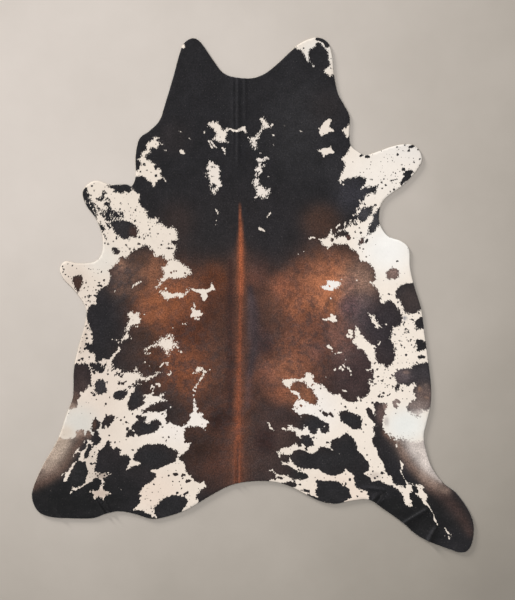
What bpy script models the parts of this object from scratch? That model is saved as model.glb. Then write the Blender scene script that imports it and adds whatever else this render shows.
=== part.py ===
"""A cowhide rug: one whole hair-on hide, lying flat with its hair side up.

The hide is charted in centimetres, across from left to right and along from
the lowest point of the hind legs up to the head end. The model is in metres,
with the head end towards +Y and the floor at Z = 0.
"""

from typing import NamedTuple

import bmesh
import bpy
import numpy as np
from mathutils import Vector
from mathutils.geometry import delaunay_2d_cdt

CM = 0.01
MM = 0.001

# Driving sizes of the sheet.
SKIN_THICKNESS = 2.2 * MM
LYING_HAIR_DEPTH = 2.8 * MM
EDGE_STEP = 22.0 * MM
FOLD_EDGE_STEP = 6.0 * MM

# The shape of the rim, from the floor up: how high, and how far the rim
# stands out from the cut edge of the skin, where the hair leans over it.


class RimLevel(NamedTuple):
    height: float
    stand_out: float


RIM = (
    RimLevel(height=0.0, stand_out=0.0),
    RimLevel(height=SKIN_THICKNESS, stand_out=1.5 * MM),
    RimLevel(height=SKIN_THICKNESS + LYING_HAIR_DEPTH, stand_out=-3.0 * MM),
)


class EdgePoint(NamedTuple):
    across: float
    along: float


# The cut edge, clockwise seen from above, one table for each part of the
# animal. A smooth closed curve runs through the points.
RUMP_LEFT = (
    EdgePoint(0.0, 32.0),
    EdgePoint(-10.0, 30.3),
    EdgePoint(-20.0, 25.2),
    EdgePoint(-30.0, 19.3),
    EdgePoint(-40.0, 15.9),
    EdgePoint(-46.0, 15.3),
    EdgePoint(-53.0, 17.4),
    EdgePoint(-60.0, 18.6),
)
LEFT_HIND_LEG = (
    EdgePoint(-66.0, 17.5),
    EdgePoint(-72.0, 15.5),
    EdgePoint(-83.0, 15.5),
    EdgePoint(-91.0, 16.2),
    EdgePoint(-96.2, 18.6),
    EdgePoint(-98.8, 24.0),
    EdgePoint(-98.2, 29.5),
    EdgePoint(-93.5, 40.0),
    EdgePoint(-87.6, 50.0),
    EdgePoint(-83.5, 61.5),
)
LEFT_FLANK = (
    EdgePoint(-80.8, 69.0),
    EdgePoint(-80.4, 75.0),
    EdgePoint(-80.2, 82.0),
    EdgePoint(-78.0, 92.0),
    EdgePoint(-75.0, 103.0),
    EdgePoint(-74.9, 109.5),
    EdgePoint(-79.8, 117.0),
    EdgePoint(-84.6, 122.0),
    EdgePoint(-86.4, 126.5),
    EdgePoint(-84.0, 130.0),
)
LEFT_FORELEG = (
    EdgePoint(-78.0, 129.0),
    EdgePoint(-71.0, 129.8),
    EdgePoint(-67.6, 134.0),
    EdgePoint(-67.6, 142.0),
    EdgePoint(-70.3, 149.0),
    EdgePoint(-74.6, 155.0),
    EdgePoint(-76.3, 160.5),
    EdgePoint(-74.0, 164.3),
    EdgePoint(-70.0, 166.0),
    EdgePoint(-64.0, 164.3),
    EdgePoint(-57.0, 164.4),
)
NECK_LEFT = (
    EdgePoint(-54.4, 163.6),
    EdgePoint(-52.6, 168.5),
    EdgePoint(-52.7, 177.0),
    EdgePoint(-51.0, 184.7),
    EdgePoint(-46.6, 188.2),
    EdgePoint(-42.0, 193.0),
    EdgePoint(-39.6, 200.0),
    EdgePoint(-36.0, 212.0),
    EdgePoint(-33.0, 223.0),
    EdgePoint(-30.8, 227.7),
    EdgePoint(-27.0, 229.6),
)
HEAD_END = (
    EdgePoint(-23.7, 227.7),
    EdgePoint(-18.5, 220.3),
    EdgePoint(-14.5, 214.9),
    EdgePoint(-10.0, 212.5),
    EdgePoint(-2.0, 211.7),
    EdgePoint(4.0, 213.3),
    EdgePoint(10.0, 217.7),
    EdgePoint(17.0, 224.2),
    EdgePoint(22.0, 228.0),
    EdgePoint(28.5, 229.9),
)
NECK_RIGHT = (
    EdgePoint(33.0, 227.6),
    EdgePoint(34.9, 222.0),
    EdgePoint(35.8, 213.0),
    EdgePoint(37.5, 205.0),
    EdgePoint(40.3, 199.7),
    EdgePoint(42.7, 194.5),
    EdgePoint(42.6, 187.0),
    EdgePoint(43.2, 182.0),
    EdgePoint(46.5, 178.9),
    EdgePoint(50.0, 177.4),
)
RIGHT_FORELEG = (
    EdgePoint(55.0, 178.8),
    EdgePoint(61.0, 181.0),
    EdgePoint(66.5, 182.2),
    EdgePoint(71.5, 181.8),
    EdgePoint(74.3, 178.7),
    EdgePoint(74.9, 174.8),
    EdgePoint(72.5, 170.4),
    EdgePoint(69.0, 166.6),
    EdgePoint(65.8, 163.4),
    EdgePoint(60.5, 159.8),
    EdgePoint(57.0, 156.0),
)
RIGHT_FLANK = (
    EdgePoint(55.8, 150.5),
    EdgePoint(56.5, 146.0),
    EdgePoint(60.0, 141.2),
    EdgePoint(65.8, 139.0),
    EdgePoint(69.2, 135.5),
    EdgePoint(69.7, 127.5),
    EdgePoint(71.5, 119.3),
    EdgePoint(74.6, 109.0),
    EdgePoint(76.1, 98.0),
    EdgePoint(77.6, 87.0),
    EdgePoint(79.0, 75.0),
    EdgePoint(78.8, 66.0),
)
RIGHT_HIND_LEG = (
    EdgePoint(77.0, 58.0),
    EdgePoint(75.8, 52.0),
    EdgePoint(77.0, 45.0),
    EdgePoint(79.5, 38.0),
    EdgePoint(84.3, 31.4),
    EdgePoint(90.0, 27.0),
    EdgePoint(95.3, 19.8),
    EdgePoint(98.0, 13.0),
    EdgePoint(97.6, 5.5),
    EdgePoint(95.6, 1.3),
    EdgePoint(92.3, 0.2),
    EdgePoint(87.0, 1.8),
)
RUMP_RIGHT = (
    EdgePoint(78.0, 5.2),
    EdgePoint(72.0, 8.7),
    EdgePoint(66.5, 13.5),
    EdgePoint(58.5, 19.2),
    EdgePoint(51.5, 23.7),
    EdgePoint(44.0, 23.4),
    EdgePoint(36.0, 21.9),
    EdgePoint(30.0, 23.0),
    EdgePoint(24.0, 25.8),
    EdgePoint(17.0, 29.4),
    EdgePoint(9.5, 31.7),
)
OUTLINE = (
    RUMP_LEFT + LEFT_HIND_LEG + LEFT_FLANK + LEFT_FORELEG + NECK_LEFT + HEAD_END
    + NECK_RIGHT + RIGHT_FORELEG + RIGHT_FLANK + RIGHT_HIND_LEG + RUMP_RIGHT
)


class Fold(NamedTuple):
    """A soft ridge: where it starts and ends (cm), and its size (mm).

    A fade is the length over which an end dies away. It is zero where the
    fold runs off the cut edge.
    """

    place: str
    start: tuple
    end: tuple
    half_width: float
    rise: float
    start_fade: float
    end_fade: float


FOLDS = (
    Fold("right hind shank, upper", (66.2, 12.7), (78.2, 20.3), 13, 6.5, 0, 30),
    Fold("right hind shank, lower", (77.4, 4.0), (82.2, 13.2), 17, 8.0, 0, 40),
    Fold("right thigh, outer pucker", (54.6, 20.8), (58.8, 27.2), 9, 4.5, 0, 30),
    Fold("right thigh, inner pucker", (52.2, 22.4), (56.8, 27.4), 8, 4.0, 0, 30),
    Fold("right thigh, cross fold", (48.5, 29.2), (60.5, 28.2), 11, 3.0, 40, 50),
    Fold("left hind shank, outer", (-66.0, 17.0), (-70.4, 24.6), 9, 4.5, 0, 30),
    Fold("left hind shank, inner", (-63.4, 17.6), (-67.6, 25.2), 9, 5.0, 0, 30),
    Fold("left stifle, upper", (-80.4, 36.6), (-75.8, 34.6), 8, 2.5, 25, 25),
    Fold("left stifle, lower", (-81.4, 33.8), (-76.6, 31.0), 8, 3.0, 25, 25),
    Fold("left heel", (-85.6, 15.0), (-90.4, 23.4), 14, 3.0, 0, 50),
    Fold("neck, middle", (-6.9, 213.0), (-7.1, 168.0), 13, 3.5, 0, 120),
    Fold("neck, right", (-4.0, 212.6), (-3.6, 186.0), 9, 2.5, 0, 120),
    Fold("neck, left", (-9.3, 213.2), (-9.0, 172.0), 9, 2.0, 0, 150),
    Fold("rump, left of tail", (-8.5, 30.0), (-8.4, 47.0), 9, 3.0, 0, 90),
    Fold("rump, right of tail", (-6.1, 30.6), (-6.2, 47.0), 9, 3.0, 0, 90),
)

# Where each fold gets rows of points: across it, as shares of its half
# width, and along it, at this spacing.
ACROSS_SHARES = (-1.0, -0.6, -0.25, 0.0, 0.25, 0.6, 1.0)
ALONG_STEP = 14.0 * MM


def smooth_closed_curve(points, step):
    """Return points about one step apart on a smooth curve through the given ones."""
    given = np.array(points) * CM
    count = len(given)
    curve = []
    for index in range(count):
        before, start, end, after = (given[(index + shift) % count] for shift in (-1, 0, 1, 2))
        pieces = max(1, round(np.linalg.norm(end - start) / step))
        for piece in range(pieces):
            t = piece / pieces
            curve.append(0.5 * (
                2.0 * start
                + (end - before) * t
                + (2.0 * before - 5.0 * start + 4.0 * end - after) * t ** 2
                + (3.0 * start - before - 3.0 * end + after) * t ** 3
            ))
    return np.array(curve)


def fold_frame(fold):
    """Return a fold's start, direction along it, direction across it, and length."""
    start = np.array(fold.start) * CM
    run = np.array(fold.end) * CM - start
    length = np.linalg.norm(run)
    ahead = run / length
    return start, ahead, np.array((-ahead[1], ahead[0])), length


def fade(distance, fade_length):
    """Return 0 at an end and 1 past its fade, with no kink at either."""
    if fade_length == 0:
        return np.ones_like(distance)
    share = np.clip(distance / (fade_length * MM), 0.0, 1.0)
    return share * share * (3.0 - 2.0 * share)


def lift_at(places):
    """Return how far the folds lift the sheet off the floor at each place."""
    lift = np.zeros(len(places))
    for fold in FOLDS:
        start, ahead, across, length = fold_frame(fold)
        offset = places - start
        along = offset @ ahead
        share = np.clip(np.abs(offset @ across) / (fold.half_width * MM), 0.0, 1.0)
        ridge = 0.5 + 0.5 * np.cos(np.pi * share)
        inside = (along > -fold.half_width * MM) & (along < length)
        ends = fade(along, fold.start_fade) * fade(length - along, fold.end_fade)
        lift = np.maximum(lift, np.where(inside, fold.rise * MM * ridge * ends, 0.0))
    return lift


def refine_near_folds(edge):
    """Add points to the edge where a fold runs off it, so that the rim can follow the fold."""
    finer = []
    for index, start in enumerate(edge):
        end = edge[(index + 1) % len(edge)]
        pieces = 1
        samples = start + (end - start) * np.linspace(0.0, 1.0, 5)[:, None]
        if lift_at(samples).max() > 0.0:
            pieces = max(1, round(np.linalg.norm(end - start) / FOLD_EDGE_STEP))
        finer.extend(start + (end - start) * piece / pieces for piece in range(pieces))
    return np.array(finer)


def outward_normals(edge):
    """Return the direction out of the hide at each point of its clockwise edge."""
    ahead = np.roll(edge, -1, axis=0) - np.roll(edge, 1, axis=0)
    out = np.stack((-ahead[:, 1], ahead[:, 0]), axis=1)
    return out / np.linalg.norm(out, axis=1)[:, None]


def inside_edge(places, edge):
    """Return which places lie inside the closed edge, by counting crossings."""
    inside = np.zeros(len(places), dtype=bool)
    for start, end in zip(edge, np.roll(edge, -1, axis=0)):
        spans = (start[1] > places[:, 1]) != (end[1] > places[:, 1])
        slope = (end[0] - start[0]) / (end[1] - start[1] if end[1] != start[1] else 1.0)
        crossing = start[0] + slope * (places[:, 1] - start[1])
        inside ^= spans & (places[:, 0] < crossing)
    return inside


def fold_places(edge):
    """Return the rows of points that carry the folds, clear of the edge and of each other."""
    places = []
    for fold in FOLDS:
        start, ahead, across, length = fold_frame(fold)
        rows = np.linspace(0.0, length, max(2, round(length / ALONG_STEP)) + 1)
        for row in rows:
            for share in ACROSS_SHARES:
                places.append(start + ahead * row + across * share * fold.half_width * MM)
    places = np.array(places)
    places = places[inside_edge(places, edge)]
    clear_of_edge = [np.linalg.norm(edge - place, axis=1).min() > 5.0 * MM for place in places]
    kept = []
    for place in places[clear_of_edge]:
        if all(np.linalg.norm(place - other) > 2.0 * MM for other in kept):
            kept.append(place)
    return np.array(kept)


def surface_triangles(edge, inner):
    """Return the points of the flat sheet, edge first, and its triangles."""
    points = [Vector(place) for place in np.vstack((edge, inner))]
    ring = [(index, (index + 1) % len(edge)) for index in range(len(edge))]
    flat, _, faces, _, _, _ = delaunay_2d_cdt(points, ring, [], 1, 1e-7)
    return np.array([tuple(place) for place in flat]), faces


def hide_mesh(name, edge, inner):
    """Build the closed sheet: a flat underside, a rim, and the hair side on top."""
    inset_edge = edge + outward_normals(edge) * RIM[-1].stand_out
    levels = [edge + outward_normals(edge) * level.stand_out for level in RIM]
    _, faces = surface_triangles(inset_edge, inner)
    sheet = bmesh.new()
    rings = []
    for level, ring in zip(RIM, levels):
        heights = lift_at(ring) + level.height
        rings.append([sheet.verts.new((x, y, z)) for (x, y), z in zip(ring, heights)])
    lifts = lift_at(inner)
    bottom_inner = [sheet.verts.new((x, y, z)) for (x, y), z in zip(inner, lifts)]
    top_inner = [sheet.verts.new((x, y, z + RIM[-1].height)) for (x, y), z in zip(inner, lifts)]
    bottom = rings[0] + bottom_inner
    top = rings[-1] + top_inner
    for face in faces:
        sheet.faces.new([top[index] for index in face])
        sheet.faces.new([bottom[index] for index in reversed(face)])
    for lower, upper in zip(rings, rings[1:]):
        for index in range(len(edge)):
            following = (index + 1) % len(edge)
            sheet.faces.new((lower[index], upper[index], upper[following], lower[following]))
    bmesh.ops.triangulate(sheet, faces=[face for face in sheet.faces if len(face.verts) > 3])
    bmesh.ops.recalc_face_normals(sheet, faces=sheet.faces)
    mesh = bpy.data.meshes.new(name)
    sheet.to_mesh(mesh)
    sheet.free()
    return mesh


def hair_material():
    """Return the coat's material: mostly dark brown and black hair on white."""
    material = bpy.data.materials.new("cowhide_hair")
    material.use_nodes = True
    shader = material.node_tree.nodes["Principled BSDF"]
    shader.inputs["Base Color"].default_value = (0.048, 0.030, 0.023, 1.0)
    shader.inputs["Roughness"].default_value = 0.55
    shader.inputs["Metallic"].default_value = 0.0
    return material


def build_hide(collection):
    """Add the hide to the collection, centred on the origin and lying on the floor."""
    edge = refine_near_folds(smooth_closed_curve(OUTLINE, EDGE_STEP))
    mesh = hide_mesh("hide", edge, fold_places(edge))
    corners = np.array([vertex.co for vertex in mesh.vertices])
    centre = (corners.min(axis=0) + corners.max(axis=0)) / 2.0
    for vertex in mesh.vertices:
        vertex.co.x -= centre[0]
        vertex.co.y -= centre[1]
    mesh.materials.append(hair_material())
    hide = bpy.data.objects.new("hide", mesh)
    collection.objects.link(hide)


def main():
    for old in list(bpy.data.objects):
        bpy.data.objects.remove(old)
    collection = bpy.data.collections.new("cowhide_rug")
    bpy.context.scene.collection.children.link(collection)
    build_hide(collection)


main()
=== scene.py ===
"""The looks of a cowhide rug: one whole hair-on hide, lying flat, hair side up.

The hide is charted in centimetres, across from left to right and along from
the lowest point of the hind legs up to the head end. The model is in metres.
"""

import math
from typing import NamedTuple

import bpy
import numpy as np
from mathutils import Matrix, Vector, noise
from mathutils.geometry import delaunay_2d_cdt


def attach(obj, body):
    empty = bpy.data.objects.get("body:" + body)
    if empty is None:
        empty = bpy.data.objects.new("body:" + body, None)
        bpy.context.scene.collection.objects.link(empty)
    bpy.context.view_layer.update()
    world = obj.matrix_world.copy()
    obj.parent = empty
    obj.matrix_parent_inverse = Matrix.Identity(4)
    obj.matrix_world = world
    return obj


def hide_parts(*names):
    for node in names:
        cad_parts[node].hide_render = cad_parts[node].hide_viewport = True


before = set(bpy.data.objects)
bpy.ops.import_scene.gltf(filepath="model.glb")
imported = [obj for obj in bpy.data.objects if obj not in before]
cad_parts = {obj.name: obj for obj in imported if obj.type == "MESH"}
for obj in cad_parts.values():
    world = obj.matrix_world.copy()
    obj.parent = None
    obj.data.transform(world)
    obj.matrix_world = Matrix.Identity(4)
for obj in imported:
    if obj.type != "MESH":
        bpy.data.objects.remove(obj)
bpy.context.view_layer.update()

CM = 0.01
MM = 0.001

# Sizes of the sheet, and how finely its cut edge is followed.
SKIN_TOP = 1.9 * MM
SKIN_STAND_OUT = 1.0 * MM
HAIR_TOP = 5.0 * MM
EDGE_STEP = 6.0 * MM

# The photograph's frame, seen from straight above.
FRAME_HEIGHT = 2.676
CAMERA_PLACE = (0.0209, -0.0221)
LENS = 85.0
SENSOR = 36.0

# ---------------------------------------------------------------- the outline
# The cut edge, clockwise seen from above, one table for each part of the
# animal. A smooth closed curve runs through the points.
RUMP_LEFT = (
    (0, 32), (-10, 30.3), (-20, 25.2), (-30, 19.3), (-40, 15.9), (-46, 15.3), (-53, 17.4), (-60, 18.6),
)
LEFT_HIND_LEG = (
    (-66, 17.5), (-72, 15.5), (-83, 15.5), (-91, 16.2), (-96.2, 18.6), (-98.8, 24), (-98.2, 29.5),
    (-93.5, 40), (-87.6, 50), (-83.5, 61.5),
)
LEFT_FLANK = (
    (-80.8, 69), (-80.4, 75), (-80.2, 82), (-78, 92), (-75, 103), (-74.9, 109.5), (-79.8, 117),
    (-84.6, 122), (-86.4, 126.5), (-84, 130),
)
LEFT_FORELEG = (
    (-78, 129), (-71, 129.8), (-67.6, 134), (-67.6, 142), (-70.3, 149), (-74.6, 155), (-76.3, 160.5),
    (-74, 164.3), (-70, 166), (-64, 164.3), (-57, 164.4),
)
NECK_LEFT = (
    (-54.4, 163.6), (-52.6, 168.5), (-52.7, 177), (-51, 184.7), (-46.6, 188.2), (-42, 193),
    (-39.6, 200), (-36, 212), (-33, 223), (-30.8, 227.7), (-27, 229.6),
)
HEAD_END = (
    (-23.7, 227.7), (-18.5, 220.3), (-14.5, 214.9), (-10, 212.5), (-2, 211.7), (4, 213.3), (10, 217.7),
    (17, 224.2), (22, 228), (28.5, 229.9),
)
NECK_RIGHT = (
    (33, 227.6), (34.9, 222), (35.8, 213), (37.5, 205), (40.3, 199.7), (42.7, 194.5), (42.6, 187),
    (43.2, 182), (46.5, 178.9), (50, 177.4),
)
RIGHT_FORELEG = (
    (55, 178.8), (61, 181), (66.5, 182.2), (71.5, 181.8), (74.3, 178.7), (74.9, 174.8), (72.5, 170.4),
    (69, 166.6), (65.8, 163.4), (60.5, 159.8), (57, 156),
)
RIGHT_FLANK = (
    (55.8, 150.5), (56.5, 146), (60, 141.2), (65.8, 139), (69.2, 135.5), (69.7, 127.5), (71.5, 119.3),
    (74.6, 109), (76.1, 98), (77.6, 87), (79, 75), (78.8, 66),
)
RIGHT_HIND_LEG = (
    (77, 58), (75.8, 52), (77, 45), (79.5, 38), (84.3, 31.4), (90, 27), (95.3, 19.8), (98, 13),
    (97.6, 5.5), (95.6, 1.3), (92.3, 0.2), (87, 1.8),
)
RUMP_RIGHT = (
    (78, 5.2), (72, 8.7), (66.5, 13.5), (58.5, 19.2), (51.5, 23.7), (44, 23.4), (36, 21.9), (30, 23),
    (24, 25.8), (17, 29.4), (9.5, 31.7),
)
OUTLINE = (
    RUMP_LEFT + LEFT_HIND_LEG + LEFT_FLANK + LEFT_FORELEG + NECK_LEFT + HEAD_END
    + NECK_RIGHT + RIGHT_FORELEG + RIGHT_FLANK + RIGHT_HIND_LEG + RUMP_RIGHT
)


class Fold(NamedTuple):
    """A soft ridge: where it starts and ends (cm), and its size and fades (mm)."""

    place: str
    start: tuple
    end: tuple
    half_width: float
    rise: float
    start_fade: float
    end_fade: float


FOLDS = (
    Fold("right hind shank, upper", (66.2, 12.7), (78.2, 20.3), 13, 6.5, 0, 30),
    Fold("right hind shank, lower", (77.4, 4), (82.2, 13.2), 17, 8, 0, 40),
    Fold("right thigh, outer pucker", (54.6, 20.8), (58.8, 27.2), 9, 4.5, 0, 30),
    Fold("right thigh, inner pucker", (52.2, 22.4), (56.8, 27.4), 8, 4, 0, 30),
    Fold("right thigh, cross fold", (48.5, 29.2), (60.5, 28.2), 11, 3, 40, 50),
    Fold("left hind shank, outer", (-66, 17), (-70.4, 24.6), 9, 4.5, 0, 30),
    Fold("left hind shank, inner", (-63.4, 17.6), (-67.6, 25.2), 9, 5, 0, 30),
    Fold("left stifle, upper", (-80.4, 36.6), (-75.8, 34.6), 8, 2.5, 25, 25),
    Fold("left stifle, lower", (-81.4, 33.8), (-76.6, 31), 8, 3, 25, 25),
    Fold("left heel", (-85.6, 15), (-90.4, 23.4), 14, 3, 0, 50),
    Fold("neck, middle", (-6.9, 213), (-7.1, 168), 13, 3.5, 0, 120),
    Fold("neck, right", (-4, 212.6), (-3.6, 186), 9, 2.5, 0, 120),
    Fold("neck, left", (-9.3, 213.2), (-9, 172), 9, 2, 0, 150),
    Fold("rump, left of tail", (-8.5, 30), (-8.4, 47), 9, 3, 0, 90),
    Fold("rump, right of tail", (-6.1, 30.6), (-6.2, 47), 9, 3, 0, 90),
)

# ------------------------------------------------------- where the coat is dark
# Each patch is the closed edge of dark hair on white. Where a patch runs off
# the hide, its edge lies a few centimetres outside the cut edge. What follows
# the dark patches is laid over them, one table after the other.
BODY_LEFT_EDGE = (
    (-24.5, 17), (-24.5, 23.3), (-25.8, 24), (-25.5, 25.5), (-24, 27.5), (-22, 29), (-20.9, 29.6),
    (-21.8, 30.4), (-21.6, 31.8), (-25, 31.5), (-27, 32.8), (-27.5, 34), (-29, 35), (-30.5, 37.5),
    (-31, 40), (-32, 41), (-33.4, 42), (-32.5, 43.5), (-30, 45.2), (-29, 47), (-28.3, 49), (-31, 49.6),
    (-30.7, 51), (-31, 53.5), (-30.5, 55.3), (-29.5, 56), (-28.2, 56.5), (-27, 56.1), (-26, 56.5),
    (-24.5, 56.4), (-22.8, 55.8), (-22, 55), (-21.6, 56.4), (-20.8, 57.3), (-19.9, 58.2), (-20.4, 58.9),
    (-22, 59.7), (-23.1, 60.5), (-22.7, 61.7), (-22.8, 62.4), (-24.4, 62.5), (-25.3, 63.2),
    (-24.8, 64.5), (-25.5, 65.5), (-25.7, 66.6), (-26.3, 67.3), (-26.9, 66.6), (-26.9, 64.8),
    (-27.2, 63.4), (-28.1, 62.4), (-28.9, 61.4), (-28.1, 60.8), (-28.7, 59.6), (-29.9, 58),
    (-31.3, 56.9), (-32.5, 56.5), (-35, 57), (-36.4, 58), (-37.3, 59), (-37.9, 58.5), (-38.7, 57.9),
    (-39.2, 58.7), (-39.3, 60), (-39, 61), (-38.9, 62.5), (-38.7, 64), (-39.8, 63.4), (-41, 62.9),
    (-42.2, 62.7), (-43.5, 62.9), (-44.8, 62.7), (-46, 62.9), (-47.4, 62.9), (-48, 62.4), (-49, 62.2),
    (-49.8, 62.7), (-49.7, 63.2), (-48.6, 63.9), (-47.8, 64.5), (-46.5, 65.6), (-45.5, 66.2),
    (-44, 66.5), (-42.9, 67.1), (-41.9, 67.6), (-40.3, 67.8), (-38.8, 67.8), (-39.3, 68.2),
    (-40.4, 68.8), (-41.3, 69.6), (-40.4, 70.3), (-39.7, 71.3), (-40.8, 70.6), (-41.4, 71),
    (-42.2, 70.1), (-43.5, 70), (-44.9, 70.5), (-45, 71.8), (-45.5, 71.1), (-46.3, 71), (-47.3, 70.5),
    (-48.4, 70.3), (-48.2, 69.4), (-48.9, 68.7), (-49.4, 67.9), (-48.8, 67.2), (-49.1, 66.4),
    (-50, 65.7), (-51, 64.9), (-52.3, 64.4), (-53.3, 63.8), (-54.5, 63.6), (-55.7, 64), (-56, 65),
    (-56.2, 66.2), (-56.4, 67.2), (-55.6, 68), (-55.3, 69), (-55.1, 70.1), (-54.3, 71.2), (-53.4, 72),
    (-53.1, 73.2), (-53.2, 74.3), (-53.1, 75.5), (-52.6, 76.3), (-52, 76.8), (-51.3, 77.2), (-50.3, 77),
    (-48.5, 77), (-47.4, 76.9), (-46.3, 77.3), (-45.6, 78), (-44.2, 78.9), (-42.9, 79.9), (-43, 80.3),
    (-44.6, 79.4), (-46.3, 78.7), (-47.6, 78.5), (-49, 78.7), (-50.3, 79.6), (-51.2, 80.3),
    (-52.3, 80.8), (-52.4, 81.6), (-52, 82.5), (-52.8, 82.1), (-53.3, 81.2), (-53.5, 80.4),
    (-54.3, 80.6), (-55.5, 80.7), (-56.7, 80.9), (-57.9, 81.3), (-59.2, 81.9), (-60.3, 82),
    (-61.3, 82.1), (-62.5, 82.2), (-62.8, 83), (-63.1, 84.3), (-63.6, 85.4), (-64.6, 86), (-65.8, 86.3),
    (-66.9, 86.9), (-67.7, 86.2), (-68.7, 85.6), (-69.4, 85.2), (-69.9, 84.9), (-70.6, 85.1),
    (-70.9, 86.2), (-70.9, 87.3), (-70.7, 88.5), (-72, 89.2), (-73.3, 89.8), (-74.1, 90.6),
    (-74.9, 91.3), (-74.9, 92.5), (-75, 93.3), (-74, 93.6), (-72.8, 93.1), (-72, 94), (-72.1, 96),
    (-72.3, 98.2), (-72.9, 99.8), (-73.2, 101.2), (-74, 103), (-74.5, 104.8), (-74.7, 106.5),
    (-73.9, 108.5), (-73, 109.9), (-72.2, 110.8), (-70.3, 111.1), (-70.3, 114.5),
)
SHOULDER_LEFT_EDGE = (
    (-69.7, 116.2), (-68.5, 117.6), (-67, 118.4), (-65.5, 119.3), (-64.8, 120), (-64.2, 121.5),
    (-63.8, 123.2), (-64.2, 124.6), (-64.9, 125.3), (-64, 126.5), (-62.8, 127.6), (-62, 128.7),
    (-60.5, 129.4), (-60, 131), (-59.2, 132.2), (-58, 132), (-57, 131.7), (-56, 132.4), (-55.2, 133.6),
    (-54.8, 134.4), (-53.8, 134.6), (-53.4, 135.6), (-52.6, 135.2), (-51.6, 135.8), (-50, 136.4),
    (-48.7, 137.2), (-47.6, 137.2), (-46.5, 136.6), (-46.2, 135.4), (-44.6, 134.6), (-44.4, 133.5),
    (-44.6, 132.5), (-43.2, 132.2), (-41.6, 132.5), (-40.6, 132.6), (-40, 131.6), (-38.8, 130.6),
    (-38.4, 130), (-38.8, 128.4), (-40, 127.8), (-41.4, 127.2), (-40.3, 126), (-40.1, 124.6),
    (-40.5, 123.4), (-42.3, 121.6), (-41.2, 121.7), (-42, 120.4), (-43.2, 119), (-43.9, 118.1),
    (-43, 118.2), (-41.8, 119.3), (-40.7, 120.8), (-39.7, 121.3), (-38.6, 122.2), (-36.5, 122.7),
    (-35.6, 122.2), (-34.4, 122.6), (-33, 122.5), (-31.5, 122.7), (-30.6, 123.2), (-29.3, 124.1),
    (-27.8, 124.6), (-28.3, 125.8), (-28.7, 127), (-29.8, 127.8), (-31.2, 128.4), (-32, 129.4),
    (-33.6, 130.4), (-35, 130.8), (-35.7, 131.4), (-35.4, 132.6), (-35.8, 133.6), (-35.2, 134.8),
    (-34.6, 136), (-34.8, 137.3), (-36.8, 138.4), (-36.4, 139.2), (-34.6, 139.6), (-33.6, 139.9),
    (-34.1, 141.2), (-34.2, 143), (-35, 144.6), (-36.4, 145.4), (-38, 145), (-39.8, 145.9),
    (-41.2, 147.2), (-43.9, 146.9), (-42.6, 148.4), (-43.7, 149.8), (-45.5, 149.2), (-47.2, 149.8),
    (-47.6, 152), (-49, 153.6), (-50.4, 155.2), (-51.4, 157), (-50.9, 158.2), (-51.2, 160),
    (-52.8, 161.2), (-54, 162.3), (-54.6, 163.8), (-58, 167.5),
)
ROUND_THE_HEAD = (
    (-58, 200), (-42, 235), (0, 238), (42, 237), (48, 200), (46, 184),
)
SHOULDER_RIGHT_EDGE = (
    (43.1, 181.7), (42.4, 179.6), (40.7, 177.3), (39.1, 175.9), (40, 174.7), (40.7, 173.1),
    (40.3, 171.2), (38.9, 168.9), (38, 166.7), (38.6, 165), (39.3, 165.4), (39.4, 166), (40.2, 166.3),
    (41.2, 167), (42.5, 167.2), (43.3, 166.7), (44.2, 167.6), (45.2, 167.3), (46, 167.8), (47, 168.1),
    (48.2, 167.6), (49.2, 167.5), (49.9, 167.3), (50, 166), (49.9, 164.9), (49.3, 163.9), (48.3, 162.9),
    (48.2, 162.4), (49.3, 163), (50.6, 163.4), (52, 163.4), (53.4, 163.4), (54.4, 163.8), (55.7, 164.4),
    (55, 163), (54.6, 162), (54.4, 160.9), (54, 160.2), (53.1, 160.6), (52.2, 160.6), (51.2, 160.2),
    (50.1, 160.1), (49.6, 159.4), (49.4, 158.3), (48.6, 157), (48.1, 156), (47.4, 155.1), (46.2, 154),
    (45.4, 153.1), (46, 152.3), (45.8, 151.4), (45.6, 150.6), (46.2, 149.7), (46.2, 148.6),
    (45.2, 147.9), (43.8, 147.2), (42.1, 146), (40.8, 145), (39.8, 144.3), (38.9, 143.6), (37.6, 143.2),
    (36.6, 143), (36, 141.8), (35.3, 142), (35, 142.9), (34.5, 143.9), (33.9, 142.6), (33.1, 141.3),
    (31.9, 140.3), (30.4, 140.1), (28.7, 139.9), (30, 139), (30.6, 137.3), (32.4, 136.5), (33.1, 135.7),
    (34.1, 136.5), (34.9, 136.8), (35.1, 137.9), (35.7, 138.3), (36.5, 137.6), (37.2, 137.2),
    (38, 137.7), (39, 137.9), (39.8, 137.4), (40.5, 137.9), (41.2, 138), (42, 137.5), (42.5, 136.4),
    (43.2, 135.6), (44.5, 135.2), (46.1, 134), (46.9, 132.4), (47.3, 130.7), (48.6, 130.1), (50, 130),
    (51.7, 129), (52.9, 127.4), (53.9, 125.7), (54.3, 123.7), (54.1, 121.6), (52.7, 121), (51, 121),
    (52.9, 119.8), (54.3, 118.5), (55.8, 116.6), (56.2, 115), (56.6, 111.9),
)
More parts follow.
